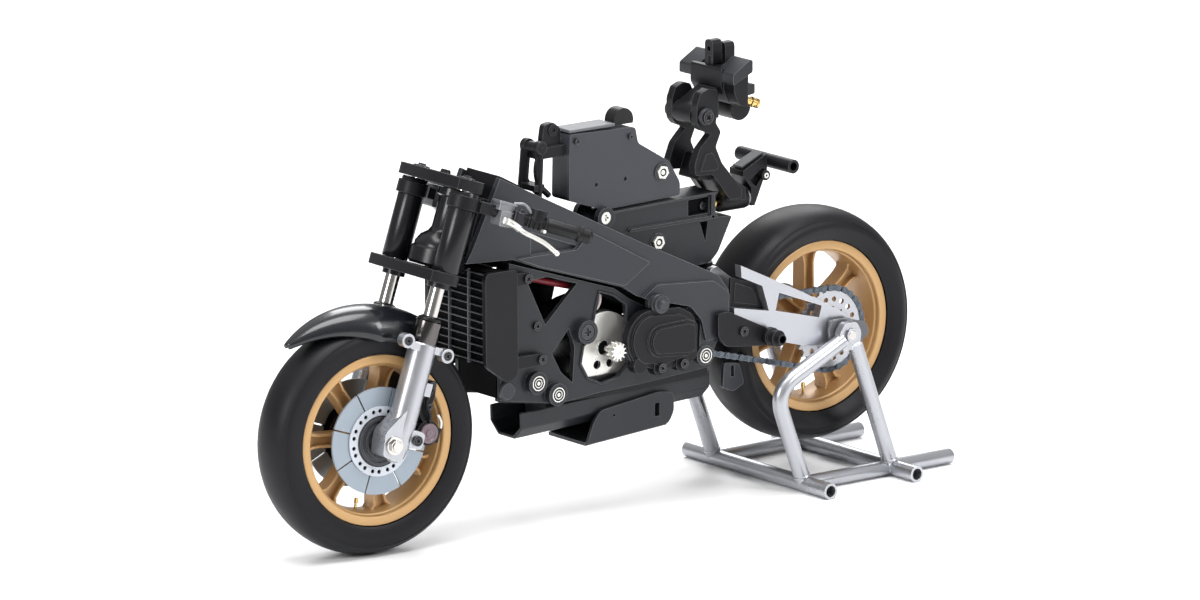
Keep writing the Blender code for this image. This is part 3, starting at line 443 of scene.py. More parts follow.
def dressed(name, mesh, look, bevel, smooth):
    """Object with its look, its sharp edges marked and, with a bevel in millimetres, its edges rounded."""
    material, slot = LOOKS[look]
    if "custom_normal" in mesh.attributes:
        mesh.attributes.remove(mesh.attributes["custom_normal"])
    mesh.materials.clear()
    mesh.materials.append(material)
    mesh.shade_smooth()
    mesh.set_sharp_from_angle(angle=math.radians(smooth))
    obj = bpy.data.objects.new(name, mesh)
    bpy.context.scene.collection.objects.link(obj)
    if bevel:
        modifier = obj.modifiers.new("edges", "BEVEL")
        modifier.width = bevel * MM
        modifier.segments = 2
        modifier.limit_method = "ANGLE"
        modifier.angle_limit = math.radians(smooth)
        modifier.harden_normals = True
    return obj


def piece(name, shapes, look, body, at=ROW, replaces=(), bevel=0.0, smooth=SHARP_ANGLE):
    """One visible piece made of shapes that touch, in the row frame or in the frame given by at."""
    whole = bmesh.new()
    for shape in shapes:
        mesh = bpy.data.meshes.new("shape")
        shape.to_mesh(mesh)
        shape.free()
        whole.from_mesh(mesh)
        bpy.data.meshes.remove(mesh)
    bmesh.ops.recalc_face_normals(whole, faces=whole.faces)
    bmesh.ops.scale(whole, vec=Vector((MM, MM, MM)), verts=whole.verts)
    bmesh.ops.transform(whole, matrix=at, verts=whole.verts)
    mesh = bpy.data.meshes.new(name)
    whole.to_mesh(mesh)
    whole.free()
    obj = dressed(name, mesh, look, bevel, smooth)
    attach(obj, body)
    if replaces:
        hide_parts(*replaces)
    return obj


def refined(node, look, bevel):
    """A CAD node's own shape with its flat faces whole and its edges rounded."""
    source = frame["nodes"][node]
    shape = bmesh.new()
    shape.from_mesh(source.data)
    bmesh.ops.remove_doubles(shape, verts=shape.verts, dist=2e-6)
    bmesh.ops.dissolve_limit(shape, angle_limit=math.radians(0.6), verts=shape.verts, edges=shape.edges)
    mesh = bpy.data.meshes.new(node + "_finished")
    shape.to_mesh(mesh)
    shape.free()
    obj = dressed(node + "_finished", mesh, look, bevel, SHARP_ANGLE)
    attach(obj, source["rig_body"])
    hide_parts(node)


# Fasteners: each is its head, with the recess open and a floor below it


def cross_outline(radius):
    wide, long = radius * 0.16, radius * 0.52
    return [
        (wide, wide), (wide, long), (-wide, long), (-wide, wide), (-long, wide), (-long, -wide),
        (-wide, -wide), (-wide, -long), (wide, -long), (wide, -wide), (long, -wide), (long, wide),
    ]


def fastener(point, radius, kind="hex", height=1.0):
    """Screw head on a face that looks along +Y."""
    recess = {"hex": circle((0, 0), radius * 0.46, 6), "cross": cross_outline(radius)}[kind]
    rim = slab(circle((0, 0), radius, 28), 0.0, height, "Y", [recess])
    floor = cylinder(radius * 0.9, height * 0.4, (0, height * 0.2, 0), sides=24)
    return [moved(s, point) for s in (rim, floor)]


def heads(*rows):
    """Hex screw heads, each given as its point and its radius."""
    return [shape for point, radius in rows for shape in fastener(point, radius)]


def nut(point, radius):
    """Hex nut with the end of its thread."""
    shapes = [
        slab(circle((0, 0), radius, 6, 12), 0.0, 1.1, "Y", [circle((0, 0), radius * 0.58, 20)]),
        cylinder(radius * 0.34, 0.9, (0, 0.45, 0), sides=20),
    ]
    return [moved(s, point) for s in shapes]


def bearing(point):
    """Shielded bearing: outer ring, inner ring and the screw through it."""
    shapes = [pipe(2.4, 2.1, -0.4, 0.2, steps=36), pipe(1.45, 1.2, -0.4, 0.2, steps=30),
              cylinder(0.6, 0.4, (0, 0, 0))]
    return [moved(s, point) for s in shapes]


# Wheels


def tyre_shape(size, rim):
    """Slick tyre whose side walls are set in a little from the tread."""
    (radius, half), (rim_radius, rim_half) = size, rim
    shoulder = rim_radius + 4.0
    outer = []
    for i in range(41):
        angle = math.radians(-90 + 180 * i / 40)
        height = shoulder + (radius - shoulder) * max(math.cos(angle), 0.0) ** 0.8
        step = 0.0 if 6 <= i <= 34 else 0.45
        outer.append((height, (half - step) * math.sin(angle)))
    lip = rim_half - 1.5
    inner = [(rim_radius + 1.2, rim_half + 0.9), (rim_radius + 0.2, rim_half + 0.5), (rim_radius + 0.2, lip),
             (rim_radius - 2.0, lip)]
    return turned([*outer, *inner, *((r, -y) for r, y in reversed(inner))], steps=112)


def spoke_shapes(inner, outer, half):
    """Spoke with an H section: a web between two ribs that flare into the rim."""
    rib = [(1.5, inner), (2.4, inner), (2.2, outer - 5), (2.7, outer - 2.4), (4.9, outer), (3.6, outer),
           (1.8, outer - 2.2), (1.4, outer - 5)]
    other = [(-x, z) for x, z in rib]
    web = [(2.0, inner), (1.8, outer - 5), (4.0, outer), (-4.0, outer), (-1.8, outer - 5), (-2.0, inner)]
    return [slab(rib, -half, half), slab(other, -half, half), slab(web, -0.8, 0.8)]


def rim_shapes(rim, hub_radius, hub_half, first):
    """Rim with a flat lip, spokes and hub. first is the angle of one spoke from straight ahead."""
    radius, half = rim
    side = [
        (radius, half - 1.2), (radius, half), (radius - 0.4, half + 0.2), (radius - 2.7, half + 0.2),
        (radius - 3.1, half - 0.2), (radius - 3.2, half - 1.4), (radius - 3.8, half - 1.7),
        (radius - 4.5, 2.2),
    ]
    floor = [(radius - 2.3, -half + 1.6), (radius - 2.3, half - 1.6)]
    shapes = [turned([*side, *((r, -y) for r, y in reversed(side)), *floor], steps=96)]
    shapes.append(turned([
        (2.0, hub_half), (hub_radius - 1.6, hub_half), (hub_radius, hub_half - 1.6),
        (hub_radius, 1.6 - hub_half), (hub_radius - 1.6, -hub_half), (2.0, -hub_half),
    ]))
    for i in range(SPOKES):
        turn = Matrix.Rotation(math.radians(90 - first - 360 * i / SPOKES), 4, "Y")
        shapes += [moved(s, (0, 0, 0), turn) for s in spoke_shapes(hub_radius - 1.2, radius - 3.4, 2.9)]
    return shapes


def valve(rim, degrees):
    """Valve stem that points from the rim towards the axle."""
    shapes = [cylinder(0.45, 4.2, (0, 0, rim[0] - 5.8), "Z", sides=16),
              cylinder(0.7, 1.6, (0, 0, rim[0] - 7.0), "Z")]
    turn = Matrix.Rotation(math.radians(90 - degrees), 4, "Y")
    return [moved(s, (0, 0, 0), turn) for s in shapes]


def disc_shapes():
    """Left brake disc: eight sectors with thin slots between them."""
    inner, outer, sectors, slot = 11.0, 17.3, 8, 0.5
    shapes = []
    for i in range(sectors):
        start = 360 / sectors * i
        far = math.degrees(slot / outer / 2)
        near = math.degrees(slot / inner / 2)
        sweep = 360 / sectors
        outline = circle((0, 0), outer, 14, start + far, sweep - 2 * far)
        outline += reversed(circle((0, 0), inner, 14, start + near, sweep - 2 * near))
        shapes.append(slab(outline, 7.6, 8.4))
    return shapes


def front_wheel():
    body = "front_wheel"
    piece("front_slick", [tyre_shape(FRONT_TYRE, FRONT_RIM)], "tyre", body, FRONT_WHEEL, ["front_tyre"],
          smooth=50)
    piece("front_spoked_rim", rim_shapes(FRONT_RIM, 6.4, 7.3, 88), "gold", body, FRONT_WHEEL, ["front_rim"],
          0.25)
    piece("front_valve", valve(FRONT_RIM, 262), "brass", body, FRONT_WHEEL)
    rings = [
        (1.8, 9.6), (3.4, 9.6), (3.6, 9.2), (4.6, 9.2), (4.8, 9.7), (5.6, 9.7), (5.8, 9.1), (6.7, 9.1),
        (6.9, 9.5), (7.6, 9.5), (7.8, 8.9), (8.5, 8.8), (8.5, 7.6), (3.6, 7.6),
    ]
    hub = turned([*rings, *((r, -y) for r, y in reversed(rings))])
    piece("stepped_hub", [hub], "hub", body, FRONT_WHEEL, ["front_hub"])
    pairs = [polar(9.8, 360 * i / 11 + lean) for i in range(11) for lean in (-7, 7)]
    carrier = slab(circle((0, 0), 11.3, 72), 8.5, 9.1, "Y",
                   [circle((0, 0), 8.3, 60), *(circle(p, 0.68, 14) for p in pairs)])
    piece("disc_carriers", both([carrier]), "carrier", body, FRONT_WHEEL, bevel=0.08)
    # Painted shade: a flat black ring behind the disc carriers, seen as shade through their holes.
    shade_backing = pipe(11.2, 8.4, 8.35, 8.5)
    piece("disc_carrier_painted_shade", both([shade_backing]), "dark", body, FRONT_WHEEL)
    piece("slotted_discs", both(disc_shapes()), "disc", body, FRONT_WHEEL,
          ["brake_disc_left", "brake_disc_right"], 0.08)


def sprocket_outline(root, tip, teeth):
    """Outline with one trapezium tooth per step, from the root radius to the tip radius."""
    outline = []
    for i in range(teeth):
        for offset, radius in ((0.0, root), (0.16, root), (0.36, tip), (0.5, tip), (0.7, root), (0.86, root)):
            outline.append(polar(radius, 360 * (i + offset) / teeth))
    return outline


def rear_wheel():
    body = "rear_wheel"
    piece("rear_slick", [tyre_shape(REAR_TYRE, REAR_RIM)], "tyre", body, REAR_WHEEL, ["rear_tyre"], smooth=50)
    piece("rear_spoked_rim", rim_shapes(REAR_RIM, 6.0, 11.4, 90), "gold", body, REAR_WHEEL, ["rear_rim"],
          0.25)
    piece("rear_valve", valve(REAR_RIM, 270), "brass", body, REAR_WHEEL)
    large = [circle(polar(9.9, 20 * i), 0.95, 18) for i in range(18)]
    small = [circle(polar(7.3, 30 * i + 10), 0.45, 10) for i in range(12)]
    toothed = sprocket_outline(12.5, 13.7, REAR_SPROCKET_TEETH)
    plate = slab(toothed, 12.6, 13.8, "Y", [circle((0, 0), 5.2, 40), *large, *small])
    boss = turned([(2.0, 14.4), (4.4, 14.4), (5.4, 13.9), (5.4, 12.2), (2.0, 12.2)])
    piece("drilled_sprocket", [plate, boss], "silver", body, REAR_WHEEL, ["rear_sprocket"], 0.1)
    far_disc = slab(circle((0, 0), 10.6, 60), -13.0, -12.2, "Y",
                    [circle((0, 0), 3.2, 30), *(circle(polar(8.4, 24 * i), 0.5, 10) for i in range(15))])
    piece("rear_disc", [far_disc], "disc", body, REAR_WHEEL, bevel=0.1)


# Chain


def chain_path():
    """Closed run round both sprockets, as points a small step apart."""
    rear = Vector((REAR_AXLE.x, REAR_AXLE.z))
    front = Vector((OUTPUT_AXIS.x, OUTPUT_AXIS.z))
    along = front - rear
    tilt = math.degrees(math.atan2(along.y, along.x))
    lean = math.degrees(math.asin((CHAIN_RADII[0] - CHAIN_RADII[1]) / along.length))
    corners = circle(rear, CHAIN_RADII[0], 90, tilt + 90 - lean, 180 + 2 * lean)
    corners += circle(front, CHAIN_RADII[1], 40, tilt - 90 + lean, 180 - 2 * lean)
    return [Vector(p) for p in (*corners, corners[0])]


def evenly(points, count):
    """count places along a run of points, at equal distances."""
    lengths = [(b - a).length for a, b in zip(points, points[1:])]
    step = sum(lengths) / count
    places, left = [], 0.0
    for a, b, length in zip(points, points[1:], lengths):
        while left < length and len(places) < count:
            places.append(a.lerp(b, left / length))
            left += step
        left -= length
    return places, step


def roller_chain():
    pins, pitch = evenly(chain_path(), CHAIN_LINKS)
    reach = pitch / 2
    plate = [
        *circle((reach, 0), 1.05, 9, -90, 180), (0, 0.72), *circle((-reach, 0), 1.05, 9, 90, 180), (0, -0.72),
    ]
    shapes = []
    for i, pin in enumerate(pins):
        after = pins[(i + 1) % CHAIN_LINKS]
        middle = (pin + after) / 2
        run = after - pin
        turn = Matrix.Rotation(-math.atan2(run.y, run.x), 4, "Y")
        near, far = ((0.62, 0.9), (0.32, 0.6))[i % 2]
        for low, high in ((near, far), (-far, -near)):
            link = slab(plate, min(low, high), max(low, high))
            shapes.append(moved(link, (middle.x, CHAIN_MIDDLE_Y, middle.y), turn))
        shapes.append(cylinder(0.85, 1.0, (pin.x, CHAIN_MIDDLE_Y, pin.y), sides=14))
        shapes.append(cylinder(0.42, 2.0, (pin.x, CHAIN_MIDDLE_Y, pin.y), sides=10))
    piece("link_chain", shapes, "chain", "swingarm", replaces=["chain"])


# Front fork, in its own frame


def slider_shapes():
    """Left fork slider: barrel, axle foot, fender ears and caliper lug."""
    barrel = turned([
        (0.0, -5.4), (1.6, -5.2), (3.4, -3.4), (4.2, 0.0), (4.5, 8.0), (4.5, 33.2), (4.2, 33.6),
        (0.0, 33.6),
    ], (TUBE_X, TUBE_Y, 0), "Z")
    foot = slab(
        rounded([(5.0, -4.8), (12.4, -4.2), (13.6, 3.4), (10.8, 7.4), (7.0, 13.0), (5.0, 6.0)], 1.6),
        TUBE_Y - 3.3, TUBE_Y + 4.1,
    )
    ears = [pipe(2.3, 1.4, 14.4, 17.6, (x, 0, z)) for x, z in ((14.2, 33.2), (-1.6, 31.5))]
    arm = span_box((0.4, TUBE_Y + 1.6, 31.0), (12.2, TUBE_Y + 3.4, 33.4))
    lug = span_box((-1.0, TUBE_Y - 1.0, 17.4), (4.0, TUBE_Y + 1.0, 21.6))
    pinch = slab(rounded([(-1.4, 0.6), (3.6, 0.2), (3.6, 6.4), (-1.4, 6.0)], 1.6), TUBE_Y, TUBE_Y + 3.6)
    return [barrel, foot, *ears, arm, lug, pinch]


def fork_legs():
    sides = ("left", "right")
    outer = turned([
        (2.6, 57.0), (4.1, 57.0), (4.3, 57.4), (4.3, 82.8), (4.0, 83.3), (2.6, 83.3),
    ], (TUBE_X, OUTER_TUBE_Y, 0), "Z")
    piece("fork_outer_tubes", both([outer]), "gloss", "steering", FORK, [f"fork_tube_{s}" for s in sides])
    inner = turned([(0.0, 10.4), (2.4, 10.4), (2.4, 87.0), (0.0, 87.0)], (TUBE_X, TUBE_Y, 0), "Z")
    piece("polished_stanchions", both([inner]), "steel", "steering", FORK, [f"stanchion_{s}" for s in sides])
    nuts = pipe(3.7, 2.4, 51.6, 53.4, (TUBE_X, TUBE_Y, 0), "Z")
    piece("clamp_collars", both([nuts]), "screw", "steering", FORK, bevel=0.2)
    caps = turned([
        (0.0, 88.3), (1.2, 88.3), (1.3, 87.8), (2.6, 87.6), (2.8, 87.1), (0.0, 87.1),
    ], (TUBE_X, TUBE_Y, 0), "Z")
    piece("fork_caps", both([caps]), "screw", "steering", FORK)
    piece("cast_sliders", both(slider_shapes()), "silver", "fork", FORK,
          [f"fork_slider_{s}" for s in sides], 0.3)
    band = turned([
        (3.0, 33.4), (4.2, 33.4), (4.3, 33.9), (4.3, 40.6), (3.9, 41.0), (3.0, 41.0),
    ], (TUBE_X, TUBE_Y, 0), "Z")
    piece("slider_collars", both([band]), "blacked", "fork", FORK)
    seal = turned([(2.5, 40.9), (3.8, 40.9), (3.7, 41.8), (2.5, 42.4)], (TUBE_X, TUBE_Y, 0), "Z")
    piece("dust_seals", both([seal]), "rubber", "fork", FORK)
    screws = heads(((14.2, 16.8, 33.2), 1.5), ((-1.6, 16.8, 31.5), 1.5), ((1.2, 17.0, 3.2), 1.7))
    piece("fork_screws", both(screws), "screw", "fork", FORK, bevel=0.08)
    nuts = [
        *nut((STEM_OFFSET, 18.2, 0), 2.2), cylinder(1.5, 4.0, (STEM_OFFSET, 17.7, 0)),
        pipe(3.0, 1.6, 17.2, 18.3, (STEM_OFFSET, 0, 0)),
    ]
    pin = cylinder(1.5, 34.8, (STEM_OFFSET, 0, 0))
    piece("axle_and_nuts", [pin, *both(nuts)], "steel", "fork", FORK, ["front_axle"], 0.12)


def steering_head():
    """Housing of the steering bearings, turned about the steering axis."""
    housing = turned([
        (2.6, 57.3), (8.6, 57.3), (9.4, 58.2), (9.4, 62.6), (8.6, 63.4), (8.6, 64.4), (7.4, 66.8),
        (5.4, 68.4), (4.6, 70.0), (4.6, 80.0), (5.6, 80.6), (5.6, 82.8), (2.6, 82.8),
    ], axis="Z")
    piece("steering_bearings", [housing], "gloss", "chassis", FORK)


def calipers():
    """Left and right calipers: a round piston housing on each side of the disc, and a bent bracket."""
    x, z = -5.4, 6.2
    housing = pipe(4.0, 1.0, 8.9, 12.2, (x, 0, z))
    far = pipe(3.8, 1.0, 5.6, 7.1, (x, 0, z))
    bridge = span_box((-10.0, 5.8, 3.8), (-9.0, 12.0, 8.6))
    bracket = slab(rounded([
        (-5.8, 9.4), (-2.6, 9.0), (0.2, 12.6), (-0.6, 17.4), (0.2, 22.6), (-3.8, 22.8), (-4.6, 17.2),
        (-3.4, 13.2),
    ], 1.0), 9.4, 12.0)
    foot = slab(rounded([(-3.4, 0.2), (0.2, 1.4), (0.2, 5.4), (-2.4, 5.4)], 0.8), 9.4, 11.4)
    solids = both([housing, far, bridge, bracket, foot])
    piece("caliper_bodies", solids, "nylon", "fork", FORK, ["caliper_left", "caliper_right"], 0.3)
    piston = turned([
        (0.0, 13.2), (1.0, 13.2), (1.2, 12.8), (2.2, 12.8), (2.5, 13.1), (3.1, 13.1), (3.3, 12.7),
        (3.3, 11.8), (0.0, 11.8),
    ], (x, 0, z))
    piece("brake_pistons", both([piston]), "piston", "fork", FORK)
    hose = tube(smooth_path([(x + 0.6, 12.2, z + 3.2), (-3.4, 13.6, 12.0), (-1.0, 13.4, 15.6),
                             (-2.6, 12.8, 20.0)]), 0.6)
    piece("caliper_hoses", both([hose]), "rubber", "fork", FORK)
    clip = tube(smooth_path([(-9.4, 12.4, 8.8), (-8.4, 13.0, 11.0), (-6.8, 12.6, 12.6)]), 0.45)
    piece("pad_clips", both([clip]), "bright", "fork", FORK)
    screws = heads(((-2.2, 11.9, 21.0), 1.3), ((-3.2, 11.9, 14.4), 1.0), ((-1.4, 11.2, 3.4), 1.2))
    piece("caliper_screws", both(screws), "screw", "fork", FORK)


def fender_piece():
    """Crowned strip over the front tyre that narrows to a point ahead."""
    start, end = 30.0, 103.0
    front_radius, rear_radius = 43.8, 41.2
    shape = bmesh.new()
    bmesh.ops.create_grid(shape, x_segments=44, y_segments=20, size=1.0)
    for vert in shape.verts:
        along = (vert.co.x + 1) / 2
        across = vert.co.y
        angle = math.radians(start + (end - start) * along)
        crown = front_radius + (rear_radius - front_radius) * along
        taper = min(1.0, 0.03 + 1.7 * along) ** 0.7
        half_width = 10.4 - 1.4 * max(0.0, along - 0.5) / 0.5
        skirt = (1.5 + 9.0 * min(1.0, along * 1.7)) * abs(across) ** 2.4
        radius = crown - skirt
        vert.co = Vector((
            STEM_OFFSET + radius * math.cos(angle),
            half_width * taper * math.sin(across * math.pi / 2),
            radius * math.sin(angle),
        ))
    obj = piece("glossy_fender", [shape], "fender", "fork", FORK, ["front_fender"], smooth=60)
    shell = obj.modifiers.new("thickness", "SOLIDIFY")
    shell.thickness = 0.7 * MM
    shell.offset = 0.0


# Handlebars, in the fork's frame


def grip_profile(length):
    """Grip, along +Z, with a few ribs at its root and a rounded end."""
    profile = [(0.0, 0.0), (2.2, 0.0)]
    for start in (0.6, 2.2, 3.8, 5.4):
        profile += [(2.0, start), (2.4, start + 0.3), (2.4, start + 0.9), (2.0, start + 1.2)]
    return [
        *profile, (2.2, 7.4), (2.1, length - 5.2), (2.6, length - 4.6), (2.6, length - 3.8),
        (2.2, length - 3.4), (2.2, length - 1.0), (1.4, length), (0.0, length),
    ]


def tablet(low, high, corner, bottom, top, place):
    """Level block with rounded corners, between two opposite corners of its outline."""
    outline = rounded([low, (high[0], low[1]), high, (low[0], high[1])], corner)
    return moved(slab(outline, bottom, top, "Z"), place)


def handlebars():
    along = (BAR_END - BAR_START).normalized()
    length = (BAR_END - BAR_START).length
    ring = pipe(5.2, 4.3, 77.7, 82.0, (TUBE_X, OUTER_TUBE_Y, 0), "Z")
    bar = aimed(cylinder(1.7, 20.0, (0, 0, 10.0), "Z"), BAR_START, along)
    clamp = span_box((-3.6, 16.0, 77.8), (2.6, 20.4, 81.6))
    piece("clip_on_bars", both([ring, bar, clamp]), "nylon", "steering", FORK,
          ["handlebar_left", "handlebar_right"], 0.35)
    grip = aimed(turned(grip_profile(length - 18.0), axis="Z", steps=40), BAR_START + along * 18, along)
    piece("ribbed_grips", both([grip]), "rubber", "steering", FORK)
    seat = BAR_START + along * 21
    socket = pipe(2.7, 1.7, 0.0, 4.0, seat, "Z")
    well = cylinder(1.8, 0.8, seat + Vector((0, 0, 0.8)), "Z")
    piece("hand_sockets", both([socket, well]), "nylon", "steering", FORK, bevel=0.15)
    perch = BAR_START + along * 9.0 + Vector((0, 0, -0.6))
    outline = rounded([(-4.0, -3.4), (1.2, -3.8), (1.6, 1.2), (-4.2, 1.4)], 0.7)
    housing = moved(slab(outline, -2.6, 3.0), perch)
    reservoir = tablet((-3.8, -2.6), (2.4, 2.6), 0.9, 1.2, 3.4, perch)
    lid = tablet((-4.2, -3.0), (2.8, 3.0), 1.0, 3.5, 4.2, perch)
    piece("brake_reservoirs", both([housing, reservoir, lid]), "alloy", "steering", FORK, bevel=0.25)
    step = perch + along * 5.4
    switch = tablet((-2.6, -2.4), (2.0, 2.4), 0.9, -2.2, 2.4, step)
    knob = cylinder(0.9, 1.2, step + Vector((0, 2.2, 2.6)), "Z")
    piece("switch_blocks", both([switch, knob]), "screw", "steering", FORK, bevel=0.25)
    arc = smooth_path([perch + along * 3.4 + Vector((0, 0.4, 4.2)),
                       perch + along * 6.4 + Vector((0, 1.0, 4.8)),
                       perch + along * 9.4 + Vector((0, 0.6, 3.0))])
    piece("cable_guides", both([tube(arc, 0.6)]), "alloy", "steering", FORK)
    tie = cylinder(0.55, 1.6, perch + along * 13.6 + Vector((0, 2.4, -1.6)), "Y")
    piece("lever_pins", both([tie]), "bright", "steering", FORK)
    path = smooth_path([
        perch + Vector((-1.0, 3.0, -1.6)), perch + Vector((-3.4, 4.2, -2.2)), (-11.0, 27.0, 75.6),
        (-14.4, 28.6, 74.8), (-17.8, 30.4, 73.8), (-21.6, 32.4, 71.8),
    ])
    blade = tube(path, 0.8)
    root = tube(path[:14], 1.15)
    ball = bmesh.new()
    bmesh.ops.create_uvsphere(ball, u_segments=20, v_segments=12, radius=1.0)
    shapes = both([blade, root, moved(ball, path[-1]), cylinder(1.5, 1.8, path[0], "Z")])
    piece("brake_levers", shapes, "bright", "steering", FORK, ["lever_left", "lever_right"])


# Frame and engine


def radiator_piece():
    outline = rounded([(57.0, 88.4), (44.2, 88.2), (44.0, 53.4), (48.0, 51.6), (56.8, 58.0)], 2.2)
    shroud = slab(outline, 14.3, 16.1)
    ears = []
    for x, z in SHROUD_SCREWS:
        ear = rounded([(46.0, z - 2.2), (46.0, z + 2.2), (x - 2.0, z + 1.8), (x - 2.0, z - 1.8)], 1.6)
        ears.append(slab(ear, 13.4, 15.0))
    piece("radiator_shrouds", both([shroud, *ears]), "nylon", "chassis", ROW, ["radiator"], 0.5)
    # The core is a real part. Its flat shadow black is painted shade, so it reads as the deep shade behind
    # the grille.
    piece("radiator_core", [span_box((49.0, -15.8, 57.2), (54.4, 14.8, 88.2))], "dark", "chassis")
    bars = [span_box((54.2, -15.8, z), (55.2, 14.6, z + 0.3)) for z in (58.4 + 2.6 * i for i in range(12))]
    bars += [span_box((54.2, y - 0.25, 57.4), (55.5, y + 0.25, 88.2)) for y in (-15.6, -5.4, 4.6, 14.2)]
    piece("radiator_grille", bars, "grey", "chassis", bevel=0.1)
    screws = heads(*(((x, 14.8, z), 1.5) for x, z in SHROUD_SCREWS))
    piece("radiator_screws", both(screws), "screw", "chassis", bevel=0.1)


def motor_pieces():
    x, z = MOTOR_AXIS.x, MOTOR_AXIS.z
    can = turned([(0.0, -9.9), (10.6, -9.9), (12.0, -8.8), (12.2, -8.0), (12.2, 7.4), (0.0, 7.4)], (x, 0, z))
    tail = turned([(0.0, -11.4), (4.6, -11.4), (6.0, -10.4), (6.0, -9.8), (0.0, -9.8)], (x, 0, z))
    piece("motor_can", [can, tail], "screw", "chassis", ROW, ["motor"])
    holes = [circle((x + dx, z - 5.2), 1.45, 20) for dx in (2.8, -2.4)]
    plate = slab(circle((x, z), 11.9, 72), 8.2, 9.4, "Y", [*holes, circle((x, z), 2.4, 24)])
    piece("motor_end_plate", [plate], "bright", "chassis", bevel=0.2)
    # Painted shade: a flat black disc between the can and the end plate, seen as shade through the plate's
    # holes.
    piece("motor_end_painted_shade", [cylinder(11.4, 0.8, (x, 7.8, z))], "dark", "chassis")
    pinion = slab(sprocket_outline(2.15, 3.15, PINION_TEETH), 14.5, 17.2, "Y", [circle((0, 0), 0.95, 18)])
    shaft = cylinder(0.95, 6.4, (0, 13.8, 0))
    at = Matrix.Translation(Vector(joint("pinion_spin")["pos_m"]))
    piece("toothed_pinion", [pinion, shaft], "bright", "motor_pinion", at, ["pinion"], 0.08)


def wires():
    red = [
        tube(smooth_path([(6.0, 3.0, 70.4), (13.0, 6.0, 76.0), (24.0, 7.0, 79.6), (35.0, 4.0, 83.0),
                          (40.0, 0.0, 86.0)]), 1.1),
        tube(smooth_path([(34.0, 8.0, 68.0), (38.5, 8.6, 74.0), (37.0, 8.0, 81.0), (30.0, 6.0, 84.0)]), 1.1),
        tube(smooth_path([(22.0, 7.4, 49.0), (26.5, 8.0, 54.0), (26.0, 8.0, 60.0), (20.0, 6.0, 66.0)]), 1.2),
    ]
    piece("red_leads", red, "red", "chassis", ROW, ["motor_wires"])
    loop = smooth_path([(11.6, 8.6, 69.0), (9.0, 9.0, 68.2), (6.2, 9.0, 70.0), (5.8, 9.0, 73.4),
                        (8.0, 8.4, 75.6)])
    piece("pale_lead", [tube(loop, 0.6)], "pale", "chassis")


def engine_details():
    bright = []
    for point in ((34.6, 14.4, 49.3), (26.5, 14.4, 44.4), (-31.0, 17.7, 49.6)):
        bright += bearing(point)
    piece("bearings", both(bright), "bright", "chassis")
    x, z = GEARBOX_SCREW
    boss = pipe(3.9, 2.8, 12.0, 14.6, (x, 0, z))
    rim = tube([Vector((u, 12.1, v)) for u, v in (*MOTOR_WINDOW, MOTOR_WINDOW[0])], 0.55, 3)
    piece("window_rims", both([boss, rim]), "plate", "chassis", bevel=0.15)
    cross = fastener((x, 13.6, z), 2.5, kind="cross", height=0.9)
    piece("gearbox_screws", both(cross), "hub", "chassis", bevel=0.12)
    dark = heads(((33.7, 12.0, 67.6), 1.4), ((-41.0, 2.4, 95.2), 1.2))
    piece("engine_screws", both(dark), "screw", "chassis", bevel=0.12)
    case_screws = heads(*(((x, 19.0, z), 1.5) for x, z in CASE_LUGS[:2]))
    piece("gear_case_screws", case_screws, "screw", "chassis", bevel=0.12)
    bush = turned([
        (0.0, 21.4), (1.3, 21.4), (1.9, 20.8), (1.9, 20.0), (2.9, 19.8), (3.0, 18.8), (2.6, 18.6),
        (2.6, 18.2), (3.0, 18.0), (3.0, 17.0), (2.6, 16.8), (2.6, 16.4), (3.0, 16.2), (3.0, 14.6),
        (0.0, 14.6),
    ], (-11.4, 0, 69.6))
    piece("case_bush", [bush], "hub", "chassis")
    end = turned([(0.0, 13.4), (2.6, 13.4), (3.0, 13.0), (3.0, 11.8), (0.0, 11.8)], (45.9, 0, 48.2))
    piece("cross_shaft_ends", both([end]), "smooth", "chassis")


def engine_bay():
    """Painted shade: a flat black filler between the engine plates, under the spars, that stands in for the
    shade of the bay.
    """
    outline = [
        (46.0, 92.0), (45.0, 87.0), (33.0, 84.0), (12.0, 78.0), (5.0, 73.0), (-6.0, 67.6), (-16.0, 61.0),
        (-32.0, 58.0), (-32.0, 74.0), (0.0, 84.0), (30.0, 94.0),
    ]
    partition = [(9.0, 60.0), (20.0, 60.0), (20.0, 70.0), (15.0, 72.0), (9.0, 73.0)]
    shapes = [slab(rounded(outline, 1.5), -9.8, 9.8), slab(partition, -2.0, 2.0)]
    shapes += [span_box((-37.0, -9.6, 44.0), (-12.0, 9.6, 60.0)),
               span_box((31.0, -9.6, 45.5), (48.0, 9.6, 60.0))]
    piece("painted_shade_filler", shapes, "dark", "chassis", bevel=0.5)
    floor = slab([(47.0, 47.0), (47.0, 44.0), (24.0, 40.4), (-8.0, 39.8), (-37.6, 40.6), (-37.6, 47.0)],
                 7.4, 10.4)
    piece("side_rails", both([floor]), "nylon", "chassis", bevel=0.4)


def gear_case_pieces():
    """Left gear cover: round-nosed case with two screw lugs, and a blank raised panel in two steps."""
    nose = circle((-8.2, 58.4), 9.4, 30, -66, 158)
    outline = [*nose, (-20.0, 67.2), (-25.0, 64.4), (-27.4, 60.0), (-27.0, 50.0), (-24.0, 48.2),
               (-12.0, 47.6)]
    shell = slab(outline, 14.9, 18.0)
    rim = slab([*circle((-8.4, 58.2), 8.0, 26, -64, 150), (-20.0, 65.0), (-25.4, 62.0), (-25.6, 52.0),
                (-13.0, 49.4)], 17.8, 19.0)
    lugs = [cylinder(2.7, 3.6, (x, 17.0, z)) for x, z in CASE_LUGS]

    def stadium(radius):
        return [*circle((-11.4, 57.6), radius, 20, -96, 180), (-22.0, 57.8 + radius), (-24.4, 56.8 + radius),
                (-24.6, 57.4 - radius), (-22.4, 56.6 - radius)]

    surround = slab(stadium(5.4), 18.8, 19.6)
    panel = slab(stadium(4.2), 19.4, 20.5)
    piece("gear_cover", [shell, rim, *lugs, surround, panel], "nylon", "chassis", ROW, ["gear_case"], 0.45)


